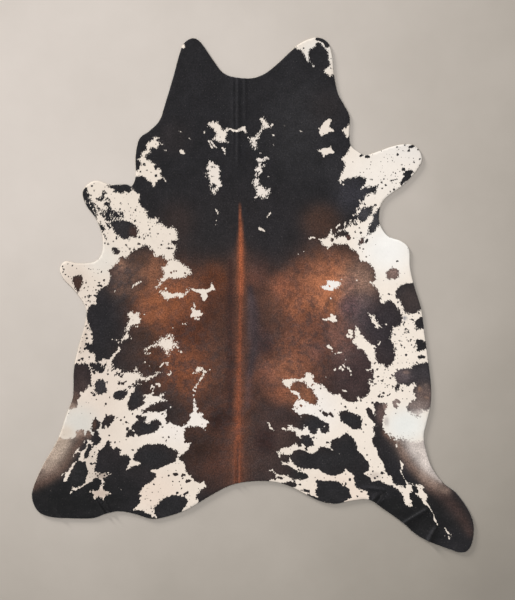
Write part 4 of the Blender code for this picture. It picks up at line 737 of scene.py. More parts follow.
# Single dark dots: (across, along, radius).
DARK_DOTS = (
    # The tip of the left elbow.
    (-85.2, 127.7, 0.3), (-84.7, 126.6, 0.34), (-85, 125.3, 0.36), (-84, 124.2, 0.3),
    (-82.6, 123.4, 0.24), (-80.8, 128.2, 0.3), (-82.9, 128.8, 0.26), (-79, 127, 0.22),
    # The left side, from the rump up.
    (-45.2, 18.4, 0.3), (-34, 26.8, 0.6), (-32.2, 28.8, 0.4), (-44.6, 30.6, 0.4), (-33.2, 31.9, 0.3),
    (-36.1, 32, 0.35), (-66.9, 33.2, 0.45), (-38, 34.5, 0.45), (-69.6, 34.5, 0.35), (-66.6, 34.6, 0.35),
    (-68.6, 35.2, 0.3), (-65.6, 35.2, 0.3), (-70.5, 35.3, 0.3), (-34.6, 36.8, 0.25),
    (-72.5, 39.8, 0.55), (-70.7, 40, 0.4), (-72, 43, 0.4), (-71, 45, 0.4), (-54, 46, 0.45),
    (-61.9, 49.4, 0.4), (-39.2, 50.2, 0.4), (-40.5, 51.6, 0.35), (-38, 51.7, 0.45), (-64.4, 52.5, 0.35),
    (-56.3, 55.4, 0.7), (-40.7, 56.2, 0.4), (-56.2, 58.2, 0.35), (-57, 58.3, 0.45), (-59.3, 59.3, 0.45),
    (-60.7, 60.4, 0.3), (-57.7, 60.5, 0.35), (-40.6, 61.9, 0.4), (-54, 62, 0.35), (-66, 66.5, 0.45),
    (-73.6, 67.2, 0.25), (-70.2, 68.5, 0.3), (-64.3, 69.3, 0.3), (-71.2, 70.5, 0.7), (-72.4, 71.5, 0.4),
    (-57.2, 72.8, 0.45), (-65.4, 76.2, 0.35), (-61.9, 79.4, 0.4), (-65.1, 79.8, 0.4), (-61, 80.2, 0.45),
    (-57.6, 80.9, 0.5), (-63.1, 81.4, 0.35), (-64.9, 81.8, 0.35), (-78, 85.8, 0.5), (-76.5, 86.5, 0.65),
    (-73.3, 87.3, 0.45), (-77.5, 89.5, 0.5), (-75.3, 91.1, 0.6), (-74.4, 95.8, 0.45),
    (-74.9, 97.5, 0.4), (-76, 99.5, 0.35), (-74.1, 100.1, 0.45), (-75, 101.3, 0.3), (-74.7, 110.8, 0.3),
    (-73.7, 112.5, 0.35), (-73.6, 114, 0.35), (-75.2, 114.3, 0.35), (-73.2, 114.8, 0.45),
    (-71.1, 115, 0.45), (-80.8, 116.5, 0.35), (-70.4, 117.3, 0.35), (-75.5, 118.2, 0.3),
    (-69.6, 119.2, 0.35), (-69, 120.6, 0.4), (-74.8, 120.6, 0.45), (-66.8, 121.6, 0.45),
    (-30.8, 124.7, 0.35), (-36.8, 125.1, 0.45), (-68, 125.4, 0.3), (-35.3, 125.5, 0.4),
    (-34.4, 125.7, 0.3), (-73.6, 126.7, 0.3), (-37.3, 130.7, 0.4), (-55.3, 135.7, 0.5),
    (-36.7, 135.9, 0.35), (-38, 136.1, 0.5), (-57, 137.2, 0.45), (-41.1, 137.2, 0.45),
    (-64.9, 137.8, 0.45), (-38, 137.9, 0.3), (-51.2, 138, 0.5), (-66.4, 138.2, 0.35),
    (-48.8, 140.3, 0.4), (-61.3, 140.3, 0.4), (-66, 140.3, 0.4), (-45.7, 140.9, 0.35),
    (-51, 140.9, 0.5), (-66.3, 141.2, 0.3), (-47.3, 141.7, 0.45), (-66.8, 142, 0.35), (-49, 142.1, 0.3),
    (-42.7, 142.6, 0.4), (-67.5, 143.3, 0.35), (-46.2, 144.3, 0.4), (-69.2, 146.8, 0.4),
    (-68.6, 147.7, 0.25), (-52.9, 148.1, 0.55), (-70.3, 148.3, 0.35), (-52.8, 152.9, 0.4),
    (-59.7, 153.4, 0.4), (-52, 154.4, 0.25), (-56, 155.7, 0.25), (-59.3, 156, 0.35),
    (-17.1, 161.4, 0.35), (-71.2, 161.6, 0.35), (-72.3, 163.6, 0.4), (-18.5, 168, 0.3),
    (-43.6, 168.3, 0.6), (-45.7, 169.8, 0.3), (-50.6, 170.1, 0.4), (-47.6, 170.7, 0.35),
    (-17.4, 172, 0.25), (-18.6, 172.2, 0.35), (-48.8, 173.3, 0.65), (-50, 177.3, 0.25), (-43, 184, 0.5),
    # The right side, from the head end down.
    (22.3, 225.1, 0.35), (34.4, 216.1, 0.3), (67.6, 182, 0.5), (63.9, 181, 0.4), (73.3, 180, 0.35),
    (69.1, 179.4, 0.6), (64.1, 177.8, 0.6), (74.2, 175.6, 0.5), (71.4, 174.5, 0.5), (69.3, 171.3, 0.4),
    (66.8, 171.1, 0.8), (63.2, 169.4, 0.4), (61.4, 168.4, 0.35), (58, 166.9, 0.35), (52.6, 166.6, 0.45),
    (57, 165.3, 0.4), (58.9, 164.1, 0.45), (1.1, 163.4, 0.4), (57.4, 162.6, 0.35), (62.5, 162.2, 0.5),
    (60.9, 161.1, 0.35), (49.4, 155.5, 0.4), (54.3, 155.1, 0.5), (43, 145.8, 0.35), (47.2, 145, 0.3),
    (45.2, 143.2, 0.4), (47.7, 142.8, 0.5), (44.6, 140.4, 0.35), (34.9, 139.8, 0.75), (47.3, 136, 0.4),
    (48.8, 135.5, 0.3), (64, 130, 0.45), (33.8, 119, 0.4), (60.3, 115.4, 0.4), (64.3, 111.9, 0.4),
    (73.8, 107, 0.4), (66, 104.6, 0.3), (70.5, 104.2, 0.35), (71.2, 103.8, 0.3), (67.2, 102.8, 0.35),
    (66.7, 101.9, 0.4), (74, 101.5, 0.6), (65.1, 101.2, 0.4), (71.8, 100, 0.3), (67.9, 99.9, 0.5),
    (72.7, 99.8, 0.4), (69, 98.6, 0.5), (42.5, 97.5, 0.35), (63, 97.3, 0.4), (70.1, 95.1, 0.4),
    (65.3, 94.5, 0.4), (69, 94.3, 0.35), (70.3, 92.9, 0.35), (65.7, 92.7, 0.35), (71.8, 92.1, 0.4),
    (67.2, 91.7, 0.3), (63.3, 91, 0.45), (67.9, 88.4, 0.5), (62.2, 86.4, 0.4), (72.7, 85, 0.35),
    (54.1, 84.8, 0.4), (55.2, 82, 0.4), (61.8, 79.2, 0.5), (55.5, 78.6, 0.35), (60.9, 77.9, 0.35),
    (57.4, 76.9, 0.5), (52.6, 76.4, 0.55), (54.3, 75.5, 0.4), (26.4, 75.2, 0.5), (53.4, 74.6, 0.3),
    (62, 74.3, 0.4), (29.8, 73.4, 0.3), (66.3, 72.5, 0.4), (57.8, 71.4, 0.5), (60.6, 70.8, 0.4),
    (56.4, 70.6, 0.35), (59.8, 70.2, 0.4), (55.9, 69.9, 0.65), (57.4, 69.7, 0.55), (20.9, 68.6, 0.3),
    (47.9, 68, 0.4), (39.1, 66.7, 0.3), (21.1, 65.7, 0.6), (40.8, 65.2, 0.4), (46, 64.7, 0.4),
    (19.3, 64.5, 0.35), (29.8, 63.6, 0.5), (50, 57.1, 0.4), (47.9, 55, 0.4), (26.7, 51.4, 0.5),
    (32.8, 49.3, 0.5), (49.3, 46.8, 0.35), (50.3, 43.6, 0.35), (53.1, 36.4, 0.3), (57.2, 35.7, 0.65),
    (52.4, 35.2, 0.35), (41, 35.2, 0.3), (55.3, 34, 0.35), (57.4, 33.6, 0.3), (54, 33.4, 0.45),
    (42.9, 32.7, 0.6), (18, 32, 0.35), (41, 31.1, 0.4), (39.5, 31, 0.25), (20.7, 30.6, 0.45),
    (40.7, 30.3, 0.3), (21.1, 27.9, 0.25), (48, 27.3, 0.4), (46.3, 25.2, 0.35),
)

# Single flecks of white hair inside the dark, from the rump up: (across, along, radius).
WHITE_DOTS = (
    (30.7, 55.3, 0.3), (31.4, 56.6, 0.25), (32, 78.4, 0.25), (43.4, 79.3, 0.35), (-60.4, 94.1, 0.3),
    (-54.5, 95.8, 0.25), (32.5, 96.6, 0.3), (45.9, 121.5, 0.35), (20, 133.5, 0.3), (22.3, 134.6, 0.3),
    (-62.4, 148.9, 0.4), (-63.8, 149.5, 0.35), (-66.2, 149.7, 0.3), (-61.3, 149.9, 0.3),
    (-63.1, 150.5, 0.35), (-59.2, 150.5, 0.25), (-66.8, 150.6, 0.3), (-63.8, 150.9, 0.4),
    (-60, 151.3, 0.45), (-62.6, 151.8, 0.3), (-71.2, 152, 0.25), (-64.8, 152.7, 0.3),
    (-65.7, 153.2, 0.3), (-71.6, 153.3, 0.3), (-72.9, 155, 0.3), (-73.2, 156.2, 0.3), (-75, 156.3, 0.3),
    (-75.3, 157.1, 0.35), (-73.9, 160.8, 0.3),
)


# --------------------------------------------------------- the colours of the hair
class Wash(NamedTuple):
    """A soft spot of colour: its middle, half sizes (cm), colour, how much shows, and lean (degrees)."""

    across: float
    along: float
    half_across: float
    half_along: float
    colour: tuple
    strength: float
    lean: float = 0.0


BLACK_HAIR = (27, 26, 29)
CREAM_HAIR = (240, 227, 213)

DARK_WASHES = (
    # The brown of the back, and the two rusty lobes over the ribs.
    Wash(-8, 88, 58, 50, (76, 49, 39), 1.0),
    Wash(-36, 108, 18, 19, (148, 88, 58), 0.9),
    Wash(-50, 126, 12, 9, (92, 68, 56), 0.8, lean=20),
    Wash(-60, 125, 7, 7, (112, 84, 72), 0.85),
    Wash(-60, 129.4, 3, 1.8, (146, 108, 86), 0.85, lean=30),
    Wash(-60, 117, 8, 6, (88, 66, 56), 0.8),
    Wash(-44, 127, 7, 7, (130, 85, 62), 0.85),
    Wash(-42, 111, 10, 11, (144, 87, 56), 0.7),
    Wash(-30, 112, 9, 6, (122, 70, 42), 0.6),
    Wash(-27, 100, 14, 9, (84, 48, 32), 0.85),
    Wash(-48, 96, 7, 6, (58, 38, 28), 0.75),
    Wash(-17, 108, 7, 14, (70, 39, 26), 0.8),
    Wash(-17, 123, 8, 8, (94, 50, 28), 0.8),
    Wash(-68, 100, 10, 24, (30, 28, 31), 1.0),
    Wash(-61, 88, 12, 12, (32, 29, 31), 0.95),
    Wash(-52, 88, 10, 10, (66, 47, 40), 0.6),
    Wash(-44, 88, 6, 4, (97, 59, 39), 0.7),
    Wash(-30, 80, 12, 14, (132, 76, 48), 0.75),
    Wash(-38, 64, 9, 8, (40, 32, 31), 0.8),
    Wash(-14, 95, 7, 14, (72, 50, 42), 0.6),
    Wash(-13, 70, 8, 22, (90, 58, 44), 0.6),
    Wash(33, 119, 18, 18, (150, 94, 66), 1.0),
    Wash(35, 117, 9, 10, (184, 116, 80), 0.75),
    Wash(38, 110, 6, 5, (156, 96, 60), 0.5),
    Wash(48, 121, 9, 10, (150, 120, 104), 0.75),
    Wash(47, 111, 8, 6, (104, 86, 84), 0.8),
    Wash(26, 98, 14, 10, (106, 66, 50), 0.85),
    Wash(15, 115, 9, 10, (136, 83, 59), 0.8),
    Wash(2, 126, 6, 9, (98, 61, 49), 0.75),
    Wash(48, 102, 9, 10, (84, 71, 74), 0.85),
    Wash(57, 98, 9, 14, (44, 38, 42), 0.9),
    Wash(44, 82, 13, 14, (62, 46, 46), 0.9),
    Wash(38, 96, 8, 9, (116, 80, 69), 0.85),
    Wash(42, 88, 5, 4, (86, 66, 63), 0.6),
    Wash(20, 86, 13, 12, (124, 78, 58), 0.9),
    Wash(14, 81, 9, 7, (150, 96, 70), 0.75),
    Wash(8, 104, 6, 14, (80, 54, 44), 0.6),
    # The loin and the rump.
    Wash(12, 62, 11, 6, (52, 39, 38), 0.8),
    Wash(12, 71, 6, 5, (142, 87, 63), 0.85),
    Wash(-14, 59, 6, 6, (50, 30, 25), 0.8),
    Wash(-16, 42, 14, 14, (76, 47, 37), 0.9),
    Wash(-25, 47, 9, 7, (44, 27, 20), 0.85),
    Wash(6, 47, 12, 17, (66, 50, 46), 0.85),
    Wash(-22, 62, 9, 9, (74, 48, 38), 0.8),
    Wash(22, 70, 7, 7, (132, 84, 60), 0.95),
    # Deeper and lighter places within the brown.
    Wash(-50, 130.5, 4, 3.5, (77, 55, 45), 0.8),
    Wash(-60, 118, 4, 4, (98, 72, 60), 0.7),
    Wash(-45, 83, 5, 3.5, (58, 38, 30), 0.8),
    Wash(-28, 98, 8, 5, (76, 42, 27), 0.9),
    Wash(-15, 60, 5, 5, (44, 24, 19), 0.9),
    Wash(-15, 70, 4, 6, (66, 42, 34), 0.8),
    Wash(5, 94, 4, 6, (60, 41, 40), 0.85),
    Wash(5, 80, 5, 5, (122, 78, 62), 0.8),
    Wash(-1, 125, 3, 5, (106, 66, 54), 0.7),
    Wash(12, 120, 5, 5, (146, 88, 64), 0.7),
    Wash(20, 128, 5, 4, (118, 72, 52), 0.7),
    Wash(20, 108, 5, 5, (150, 90, 60), 0.6),
    Wash(28, 90, 4, 5, (100, 66, 57), 0.8),
    Wash(20, 89, 4, 4, (114, 71, 53), 0.6),
    Wash(42, 120, 4, 4, (134, 98, 86), 0.7),
    Wash(42, 110, 5, 5, (92, 68, 70), 0.8),
    Wash(5, 50, 5, 6, (46, 27, 25), 0.8),
    Wash(22, 70, 5, 5, (118, 76, 54), 0.8),
    Wash(-9.5, 145.6, 1.6, 0.5, (130, 76, 50), 0.6, lean=-30),
    Wash(-6, 129, 7, 6, (76, 54, 47), 0.75),
    Wash(-7, 41, 3, 4, (70, 42, 33), 0.8),
    # The black ovals of the hind part.
    Wash(-48, 56, 8, 5, (33, 32, 34), 0.95),
    Wash(-53, 68, 4, 7, (33, 32, 34), 0.9),
    Wash(-45, 43, 11, 6, (31, 30, 32), 0.95),
    Wash(-37, 20, 8, 7, (31, 30, 32), 0.95),
    Wash(-60, 71, 4, 3, (33, 32, 34), 0.9),
    Wash(28, 57, 8, 6, (34, 33, 36), 0.95),
    Wash(24, 50, 4, 3, (34, 33, 36), 0.9),
    Wash(28, 41, 14, 6, (31, 30, 32), 0.95),
    Wash(42, 46, 8, 8, (31, 30, 32), 0.95),
    Wash(22, 35, 5, 3, (32, 31, 31), 0.85),
    Wash(43, 59, 7, 5, (32, 31, 33), 0.95),
    Wash(35, 27, 10, 7, (31, 30, 32), 0.95),
    # The black of the withers and the brown that shows through it, with painted sheen on the black of
    # the neck and the right shoulder.
    Wash(-18, 145, 16, 14, (32, 30, 32), 0.9),
    Wash(8, 143, 16, 16, (32, 30, 33), 0.9),
    Wash(30, 148, 9, 8, (76, 50, 38), 0.75),
    Wash(-34, 148, 8, 9, (54, 40, 36), 0.6),
    # Painted sheen on the black of the neck.
    Wash(20, 190, 15, 22, (42, 41, 43), 0.7),
    Wash(33, 199, 8, 8, (44, 38, 38), 0.5),
    Wash(-36, 185, 8, 8, (44, 37, 37), 0.5),
    # Painted sheen on the black of the right shoulder.
    Wash(44, 160, 8, 8, (48, 47, 53), 0.95),
    Wash(37, 170, 7, 8, (39, 38, 41), 0.9),
    # The deep black of the hind legs.
    Wash(-80, 24, 26, 12, (14, 14, 15), 0.95),
    Wash(70, 17, 24, 12, (14, 14, 15), 0.95),
    # The roan hair of the hind legs and the flanks' edges.
    Wash(-78, 53.5, 4, 3, (170, 145, 130), 0.9),
    Wash(-73.5, 53, 1.6, 2.5, (120, 95, 82), 0.8),
    Wash(-71.2, 57.3, 1.2, 2.8, (80, 58, 48), 0.9),
    Wash(-77, 80, 5, 5, (46, 35, 35), 0.9),
    Wash(-77, 73, 5, 5, (66, 52, 49), 0.9),
    Wash(-79.6, 69, 2, 3, (92, 72, 62), 0.9),
    Wash(-80.8, 65.3, 2.5, 2, (160, 138, 124), 0.95),
    Wash(-58, 144, 7, 5, (40, 37, 39), 0.8),
    Wash(-53.4, 143, 2.2, 3, (72, 48, 42), 0.8),
    Wash(-88, 44.5, 5.6, 10, (174, 155, 139), 0.95, lean=27),
    Wash(75.5, 44.5, 5.5, 12, (206, 193, 185), 0.95, lean=-24),
    Wash(-78.6, 120.3, 4.2, 4.6, (66, 43, 34), 0.9),
    Wash(-86.2, 50.8, 4.4, 3.2, (178, 158, 141), 0.85, lean=20),
    Wash(-92.6, 40.8, 3.4, 4.6, (166, 146, 131), 0.8, lean=27),
    Wash(-78.5, 41, 3, 4, (29, 28, 30), 0.9),
    Wash(-78, 35, 4.5, 7, (28, 28, 29), 0.95),
    Wash(42.2, 140.8, 1.2, 1.2, (96, 66, 58), 0.9),
    Wash(48, 139.2, 1.3, 1.8, (96, 72, 66), 0.9),
    Wash(49.8, 151, 3.5, 3.5, (64, 62, 66), 0.9),
    Wash(54, 148, 3, 5, (62, 61, 65), 0.9),
    Wash(66, 79, 6, 4, (92, 80, 82), 0.9),
    Wash(68, 80.6, 1.6, 0.9, (132, 108, 98), 0.8),
    Wash(75, 80, 5, 5, (60, 55, 58), 0.9),
    Wash(76, 70, 6, 6, (108, 90, 84), 0.9),
    Wash(74, 73.2, 0.8, 1.2, (140, 108, 88), 0.8),
    Wash(77.2, 69.2, 0.8, 0.7, (160, 128, 110), 0.8),
    Wash(77, 74.6, 0.7, 0.6, (150, 126, 114), 0.8),
    Wash(73, 66, 6, 2.6, (138, 122, 116), 0.95),
    Wash(74, 62.3, 7, 1.9, (196, 184, 178), 0.95),
    Wash(62, 124.5, 4, 4, (122, 100, 92), 1.0),
    Wash(70, 113, 7, 8, (62, 52, 50), 0.9),
    Wash(57, 62, 2.5, 5, (114, 90, 84), 0.7),
    Wash(58.8, 65.4, 1.2, 1.6, (150, 126, 116), 0.9),
    Wash(63.6, 66.7, 3, 3, (132, 114, 108), 1.0),
    Wash(60, 53, 2, 1.6, (120, 95, 85), 0.8),
    Wash(-68, 74, 3, 4, (58, 56, 58), 0.8),
)

LIGHT_WASHES = (
    Wash(65, 180, 15, 7, (228, 230, 233), 0.5, lean=12),
    Wash(52, 100, 34, 80, (251, 239, 226), 0.8),
    Wash(-72, 72, 15, 60, (233, 217, 203), 0.8),
    Wash(-78, 58, 9, 8, (221, 217, 209), 0.9),
    Wash(-84, 54, 4, 3, (220, 205, 189), 0.8),
    Wash(-77, 97.5, 3.2, 9, (212, 196, 181), 0.8),
    Wash(-72.5, 37, 4, 9, (216, 202, 188), 0.9),
    Wash(-67.5, 34.5, 3.2, 1.5, (170, 154, 142), 0.9),
    Wash(-68.5, 26.5, 5, 2.2, (200, 181, 166), 0.85),
    Wash(67.4, 104.8, 0.8, 0.9, (116, 117, 126), 0.9),
    Wash(59.3, 58.6, 1.1, 1.9, (164, 146, 138), 0.9),
    Wash(54, 34.3, 2.6, 1.8, (196, 184, 174), 0.8),
    Wash(-30, 60, 20, 14, (248, 240, 234), 0.75),
    Wash(4, 172, 30, 22, (242, 233, 225), 0.7),
    Wash(-68, 131, 8, 7, (234, 227, 217), 0.8),
    Wash(-80, 123, 7, 6, (226, 210, 196), 0.8),
    Wash(60, 136, 13, 12, (253, 251, 247), 0.9),
    Wash(32, 118, 8, 8, (248, 244, 240), 0.8),
    Wash(26, 64, 12, 12, (250, 243, 237), 0.8),
    Wash(68, 57, 10, 8, (240, 241, 237), 0.9),
    Wash(57, 168, 18, 14, (250, 242, 233), 0.8),
    Wash(-45, 28, 14, 10, (238, 219, 203), 0.8),
    Wash(40, 28, 16, 9, (240, 221, 205), 0.8),
    Wash(28, 222, 8, 8, (240, 235, 228), 0.8),
)


class Band(NamedTuple):
    """A soft stripe of colour along a run of dabs (across, along, half width)."""

    dabs: tuple
    colour: tuple
    strength: float


DARK_BANDS = (
    # Beside the spine: its glow, and the slate hair left and right of it.
    Band(((-5.8, 142, 1.0), (-5.8, 134, 3.2), (-6, 115, 4.4), (-6.5, 95, 4), (-7, 60, 5), (-7, 31, 5)),
         (98, 60, 44), 0.65),
    Band(((-1.6, 118, 1.4), (0.2, 106, 3.0), (0.4, 92, 3.0), (-2.0, 80, 1.6)), (58, 47, 50), 0.9),
    Band(((-1.8, 114, 1.2), (-1.6, 104, 1.6), (-2.0, 96, 1.2)), (82, 68, 70), 0.6),
    Band(((-2.0, 80, 1.6), (-2.6, 66, 1.2)), (84, 60, 58), 0.7),
    Band(((-10.5, 130, 1.0), (-10.5, 112, 2.0), (-10.5, 85, 2.0), (-10.8, 60, 1.4)), (56, 34, 29), 0.8),
    # The rusty stripe down the spine, and painted shade in the crease at its lower end.
    Band(((-6, 157.5, 0.03), (-5.9, 152, 0.35), (-5.8, 146, 0.8), (-5.8, 136, 1.3), (-5.8, 122, 1.4),
          (-5.8, 116, 1.0)), (172, 92, 56), 0.92),
    Band(((-5.8, 124, 1.4), (-5.85, 116, 1.0), (-5.9, 108, 0.7), (-6.1, 98, 0.8), (-6.4, 85, 1.0),
          (-6.8, 72, 1.2), (-7, 60, 1.6), (-7, 50, 1.8), (-7.2, 31, 1.5)), (136, 74, 48), 0.85),
    Band(((-7.4, 50, 0.4), (-7.3, 42, 0.5), (-7.3, 30, 0.6)), (62, 40, 34), 0.8),
    # The roan hair down the outside of each hind leg, black to brown to pale.
    Band(((-76.5, 51, 1.5), (-79.5, 47, 2.2), (-82, 43, 2.6), (-84.5, 39, 3), (-88, 35.5, 3),
          (-92.5, 32.5, 2.6), (-98, 29.5, 2.4)), (84, 64, 55), 0.9),
    Band(((-89, 37.5, 2.6), (-93, 35.5, 2.6), (-96, 33.5, 2)), (128, 108, 97), 0.85),
    Band(((-83, 52.4, 3.6), (-85.5, 49, 5.4), (-87.4, 44.5, 5.2), (-89.6, 41.8, 4.2), (-92, 39.2, 2.8)),
         (182, 163, 147), 0.55),
    Band(((59, 54, 2), (64, 49, 2.5), (67.5, 43, 2.5), (71, 38, 2.6), (75, 34, 2.6), (79, 30.5, 3)),
         (98, 74, 62), 0.85),
    Band(((80, 28, 2.5), (85, 25.5, 3.8), (89.5, 20.5, 3.8), (93.5, 15, 3.4), (96.5, 9, 2.4)),
         (60, 44, 40), 0.85),
    Band(((75, 35, 2.0), (79, 31.4, 2.8), (83, 29.2, 3.0), (86, 27.8, 2.0)), (136, 114, 102), 0.85),
    Band(((67, 54, 4.4), (71.5, 49, 6.2), (75, 43.5, 5.8), (78.5, 38.5, 4.8), (81, 35, 3.0),
          (83.5, 32.4, 1.4)), (220, 208, 200), 0.7),
    # Painted highlights on the ridges of the creases in the black hind legs, and painted shade in the
    # dark lines beside them.
    Band(((66.6, 13.8, 0.45), (72.5, 17.3, 0.4), (77.6, 20.2, 0.3)), (30, 30, 33), 0.8),
    Band(((67.8, 12.5, 0.45), (73.5, 16, 0.45), (77.8, 18.9, 0.25)), (2, 2, 3), 0.95),
    Band(((77.0, 5.4, 0.8), (78.3, 8.5, 0.8), (81, 11.4, 0.4)), (29, 29, 32), 0.8),
    Band(((79.3, 4.8, 0.8), (80.2, 8, 0.9), (81.8, 11, 0.4)), (2, 2, 3), 0.95),
    Band(((54, 22.6, 0.45), (56, 25.2, 0.45), (58.8, 27.8, 0.3)), (2, 2, 3), 0.95),
    Band(((53, 24.6, 0.6), (53.8, 27, 0.5)), (44, 43, 46), 0.7),
    Band(((57, 23.4, 0.6), (60, 26.5, 0.5)), (38, 37, 40), 0.8),
    Band(((48, 29.6, 0.5), (53, 29.4, 0.6), (58, 28.6, 0.4)), (42, 41, 45), 0.7),
    Band(((-70.2, 24, 0.5), (-65.4, 17.4, 0.6)), (2, 2, 3), 0.95),
    Band(((-69.1, 23.6, 0.3), (-64.5, 17.6, 0.35)), (46, 45, 48), 0.8),
    Band(((-68, 23, 0.4), (-63.4, 17.4, 0.5)), (2, 2, 3), 0.95),
    Band(((-81, 37.5, 0.3), (-76, 36, 0.25)), (38, 37, 40), 0.6),
    Band(((-80.6, 35.2, 0.3), (-75.8, 33.4, 0.25)), (38, 37, 40), 0.6),
    Band(((-80, 32.6, 0.3), (-76.4, 31.2, 0.25)), (38, 37, 40), 0.6),
)


class Zone(NamedTuple):
    """Where a quality of the hair differs: its middle, half sizes (cm), value and lean (degrees)."""

    across: float
    along: float
    half_across: float
    half_along: float
    value: float
    lean: float = 0.0


# How softly white gives way to dark, in centimetres either side of the edge.
COMMON_SOFTNESS = 0.08
SOFT_ZONES = (
    Zone(-82, 53, 7, 3.5, 0.6),
    Zone(68, 51.5, 11, 4, 0.8),
    Zone(74, 63, 6, 3, 0.8),
    Zone(-81, 65.5, 3, 3, 0.6),
    Zone(62, 124, 4, 4, 0.25),
    Zone(63.5, 66.7, 3, 3, 0.4),
)

# What share of the places for a speck have one.
COMMON_SPECKS = 0.10
SPECK_ZONES = (
    Zone(-50, 148, 14, 14, 0.45),
    Zone(-66, 150, 9, 14, 0.40),
    Zone(-74, 118, 7, 9, 0.50),
    Zone(62, 172, 13, 10, 0.50),
    Zone(67, 96, 8, 14, 0.55),
    Zone(60, 76, 6, 10, 0.35),
    Zone(-72, 42, 4, 12, 0.70),
    Zone(-44, 27, 12, 9, 0.35),
    Zone(-77, 98, 4, 10, 0.35),
    Zone(20, 33, 14, 4, 0.25),
    Zone(62, 133, 9, 9, 0.0),
    Zone(68, 58, 8, 6, 0.0),
    Zone(-79, 58, 7, 6, 0.0),
)

# How strongly rusty and black hairs are mixed.
COMMON_MOTTLE = 0.12
MOTTLE_ZONES = (
    Zone(-40, 112, 24, 22, 0.5),
    Zone(-58, 122, 8, 12, 1.0),
    Zone(34, 110, 24, 26, 0.85),
    Zone(30, 121, 9, 7, 0.4),
    Zone(-30, 80, 22, 20, 0.9),
    Zone(18, 84, 18, 16, 0.8),
    Zone(-10, 60, 20, 28, 0.5),
)

# How far white and dark hair straggle over the edge between them.
COMMON_RAGGEDNESS = 0.65
RAGGED_ZONES = (
    Zone(-42, 135, 16, 18, 1.0),
    Zone(-66, 152, 9, 9, 1.0),
    Zone(-52, 84, 14, 18, 1.0),
    Zone(-38, 92, 10, 10, 1.3),
    Zone(45, 152, 12, 14, 0.75),
    Zone(2, 172, 9, 22, 1.1),
    Zone(60, 92, 9, 14, 1.0),
    Zone(68, 54, 11, 8, 1.6),
    Zone(38, 38, 24, 18, 0.4),
    Zone(-45, 38, 18, 16, 0.45),
    Zone(-62, 62, 14, 14, 0.5),
    Zone(-80, 38, 12, 16, 0.3),
    Zone(79, 18, 4, 6, 0.12),
)


# ----------------------------------------------------------- the outline's curve
def smooth_closed_curve(points, step):
    """Return points about one step apart on a smooth curve through the given ones."""
    given = np.array(points, dtype=float)
    count = len(given)
    curve = []
    for index in range(count):
        before, start, end, after = (given[(index + shift) % count] for shift in (-1, 0, 1, 2))
        pieces = max(1, round(np.linalg.norm(end - start) / step))
        for piece in range(pieces):
            t = piece / pieces
            curve.append(0.5 * (
                2.0 * start
                + (end - before) * t
                + (2.0 * before - 5.0 * start + 4.0 * end - after) * t ** 2
                + (3.0 * start - before - 3.0 * end + after) * t ** 3
            ))
    return np.array(curve)


def unit(ways):
    """Return each way with a length of 1."""
    return ways / np.linalg.norm(ways, axis=1)[:, None]


def turned_left(ways):
    """Return each way turned left by a right angle."""
    return np.stack((-ways[:, 1], ways[:, 0]), axis=1)


def outward_normals(edge):
    """Return the direction out of the hide at each point of its clockwise edge."""
    ahead = np.roll(edge, -1, axis=0) - np.roll(edge, 1, axis=0)
    return unit(turned_left(ahead))


def rim_ring(stand_out):
    """Return the chart places (cm) of a ring that stands out from the cut edge by some metres."""
    return EDGE + EDGE_OUT * (stand_out / CM)


def to_model(places):
    """Turn chart places (cm) into places in the model (m)."""
    return (places - CHART_MIDDLE) * CM


EDGE = smooth_closed_curve(OUTLINE, EDGE_STEP / CM)
EDGE_OUT = outward_normals(EDGE)
CHART_MIDDLE = (EDGE.min(axis=0) + EDGE.max(axis=0)) / 2.0


# ------------------------------------------------------------- the painted chart
# A grid of cells over the chart (cm). Each cell holds its distance to the
# nearest edge of a painted patch, positive inside the patch, up to FAR.
CELL = 0.25
FAR = 2.0
# How far apart the points on a patch's curved edge are.
PATCH_STEP = 0.5
# Dabs are painted steeper than patches, so that straggling hair doesn't break them up.
STEEPNESS = 2.4
CHART_LOW = (-102.0, -4.0)
CHART_HIGH = (102.0, 234.0)
ACROSS = np.arange(CHART_LOW[0], CHART_HIGH[0], CELL)
ALONG = np.arange(CHART_LOW[1], CHART_HIGH[1], CELL)
# A single dab counts as a line of this length squared, so that nothing is divided by nought.
LEAST_LENGTH_SQUARED = 1e-9
# The chart is read up to this many cells from its end, so that each place lies between two cells.
LAST_CELLS = 1.001


def cells_near(low, high, reach):
    """Return the rows and columns of the cells within reach of a box on the chart."""
    found = []
    for axis, places in ((1, ALONG), (0, ACROSS)):
        first = math.floor((low[axis] - reach - places[0]) / CELL)
        last = math.ceil((high[axis] + reach - places[0]) / CELL) + 1
        found.append(slice(max(0, first), max(0, min(len(places), last))))
    return tuple(found)


def capsule_distance(start, end, x, y):
    """Return the distance to a line and how far along it the nearest point is, from 0 to 1."""
    run = end[:2] - start[:2]
    length_squared = max(float(run @ run), LEAST_LENGTH_SQUARED)
    share = ((x - start[0]) * run[0] + (y - start[1]) * run[1]) / length_squared
    share = np.clip(share, 0.0, 1.0)
    return np.hypot(x - start[0] - share * run[0], y - start[1] - share * run[1]), share


def patch_depth(points):
    """Return the depth inside a closed patch, for every cell of the chart."""
    curve = smooth_closed_curve(points, PATCH_STEP)
    distance = np.full((len(ALONG), len(ACROSS)), FAR)
    turns = np.zeros((len(ALONG), len(ACROSS)), dtype=np.int32)
    for start, end in zip(curve, np.roll(curve, -1, axis=0)):
        rows, columns = cells_near(np.minimum(start, end), np.maximum(start, end), FAR)
        x, y = np.meshgrid(ACROSS[columns], ALONG[rows])
        found, _ = capsule_distance(start, end, x, y)
        np.minimum(distance[rows, columns], found, out=distance[rows, columns])
        crossed = np.nonzero((start[1] > ALONG) != (end[1] > ALONG))[0]
        for row in crossed:
            share = (ALONG[row] - start[1]) / (end[1] - start[1])
            column = np.searchsorted(ACROSS, start[0] + share * (end[0] - start[0]))
            if column < len(ACROSS):
                turns[row, column] += 1
    inside = np.cumsum(turns, axis=1) % 2 == 1
    return np.where(inside, distance, -distance)


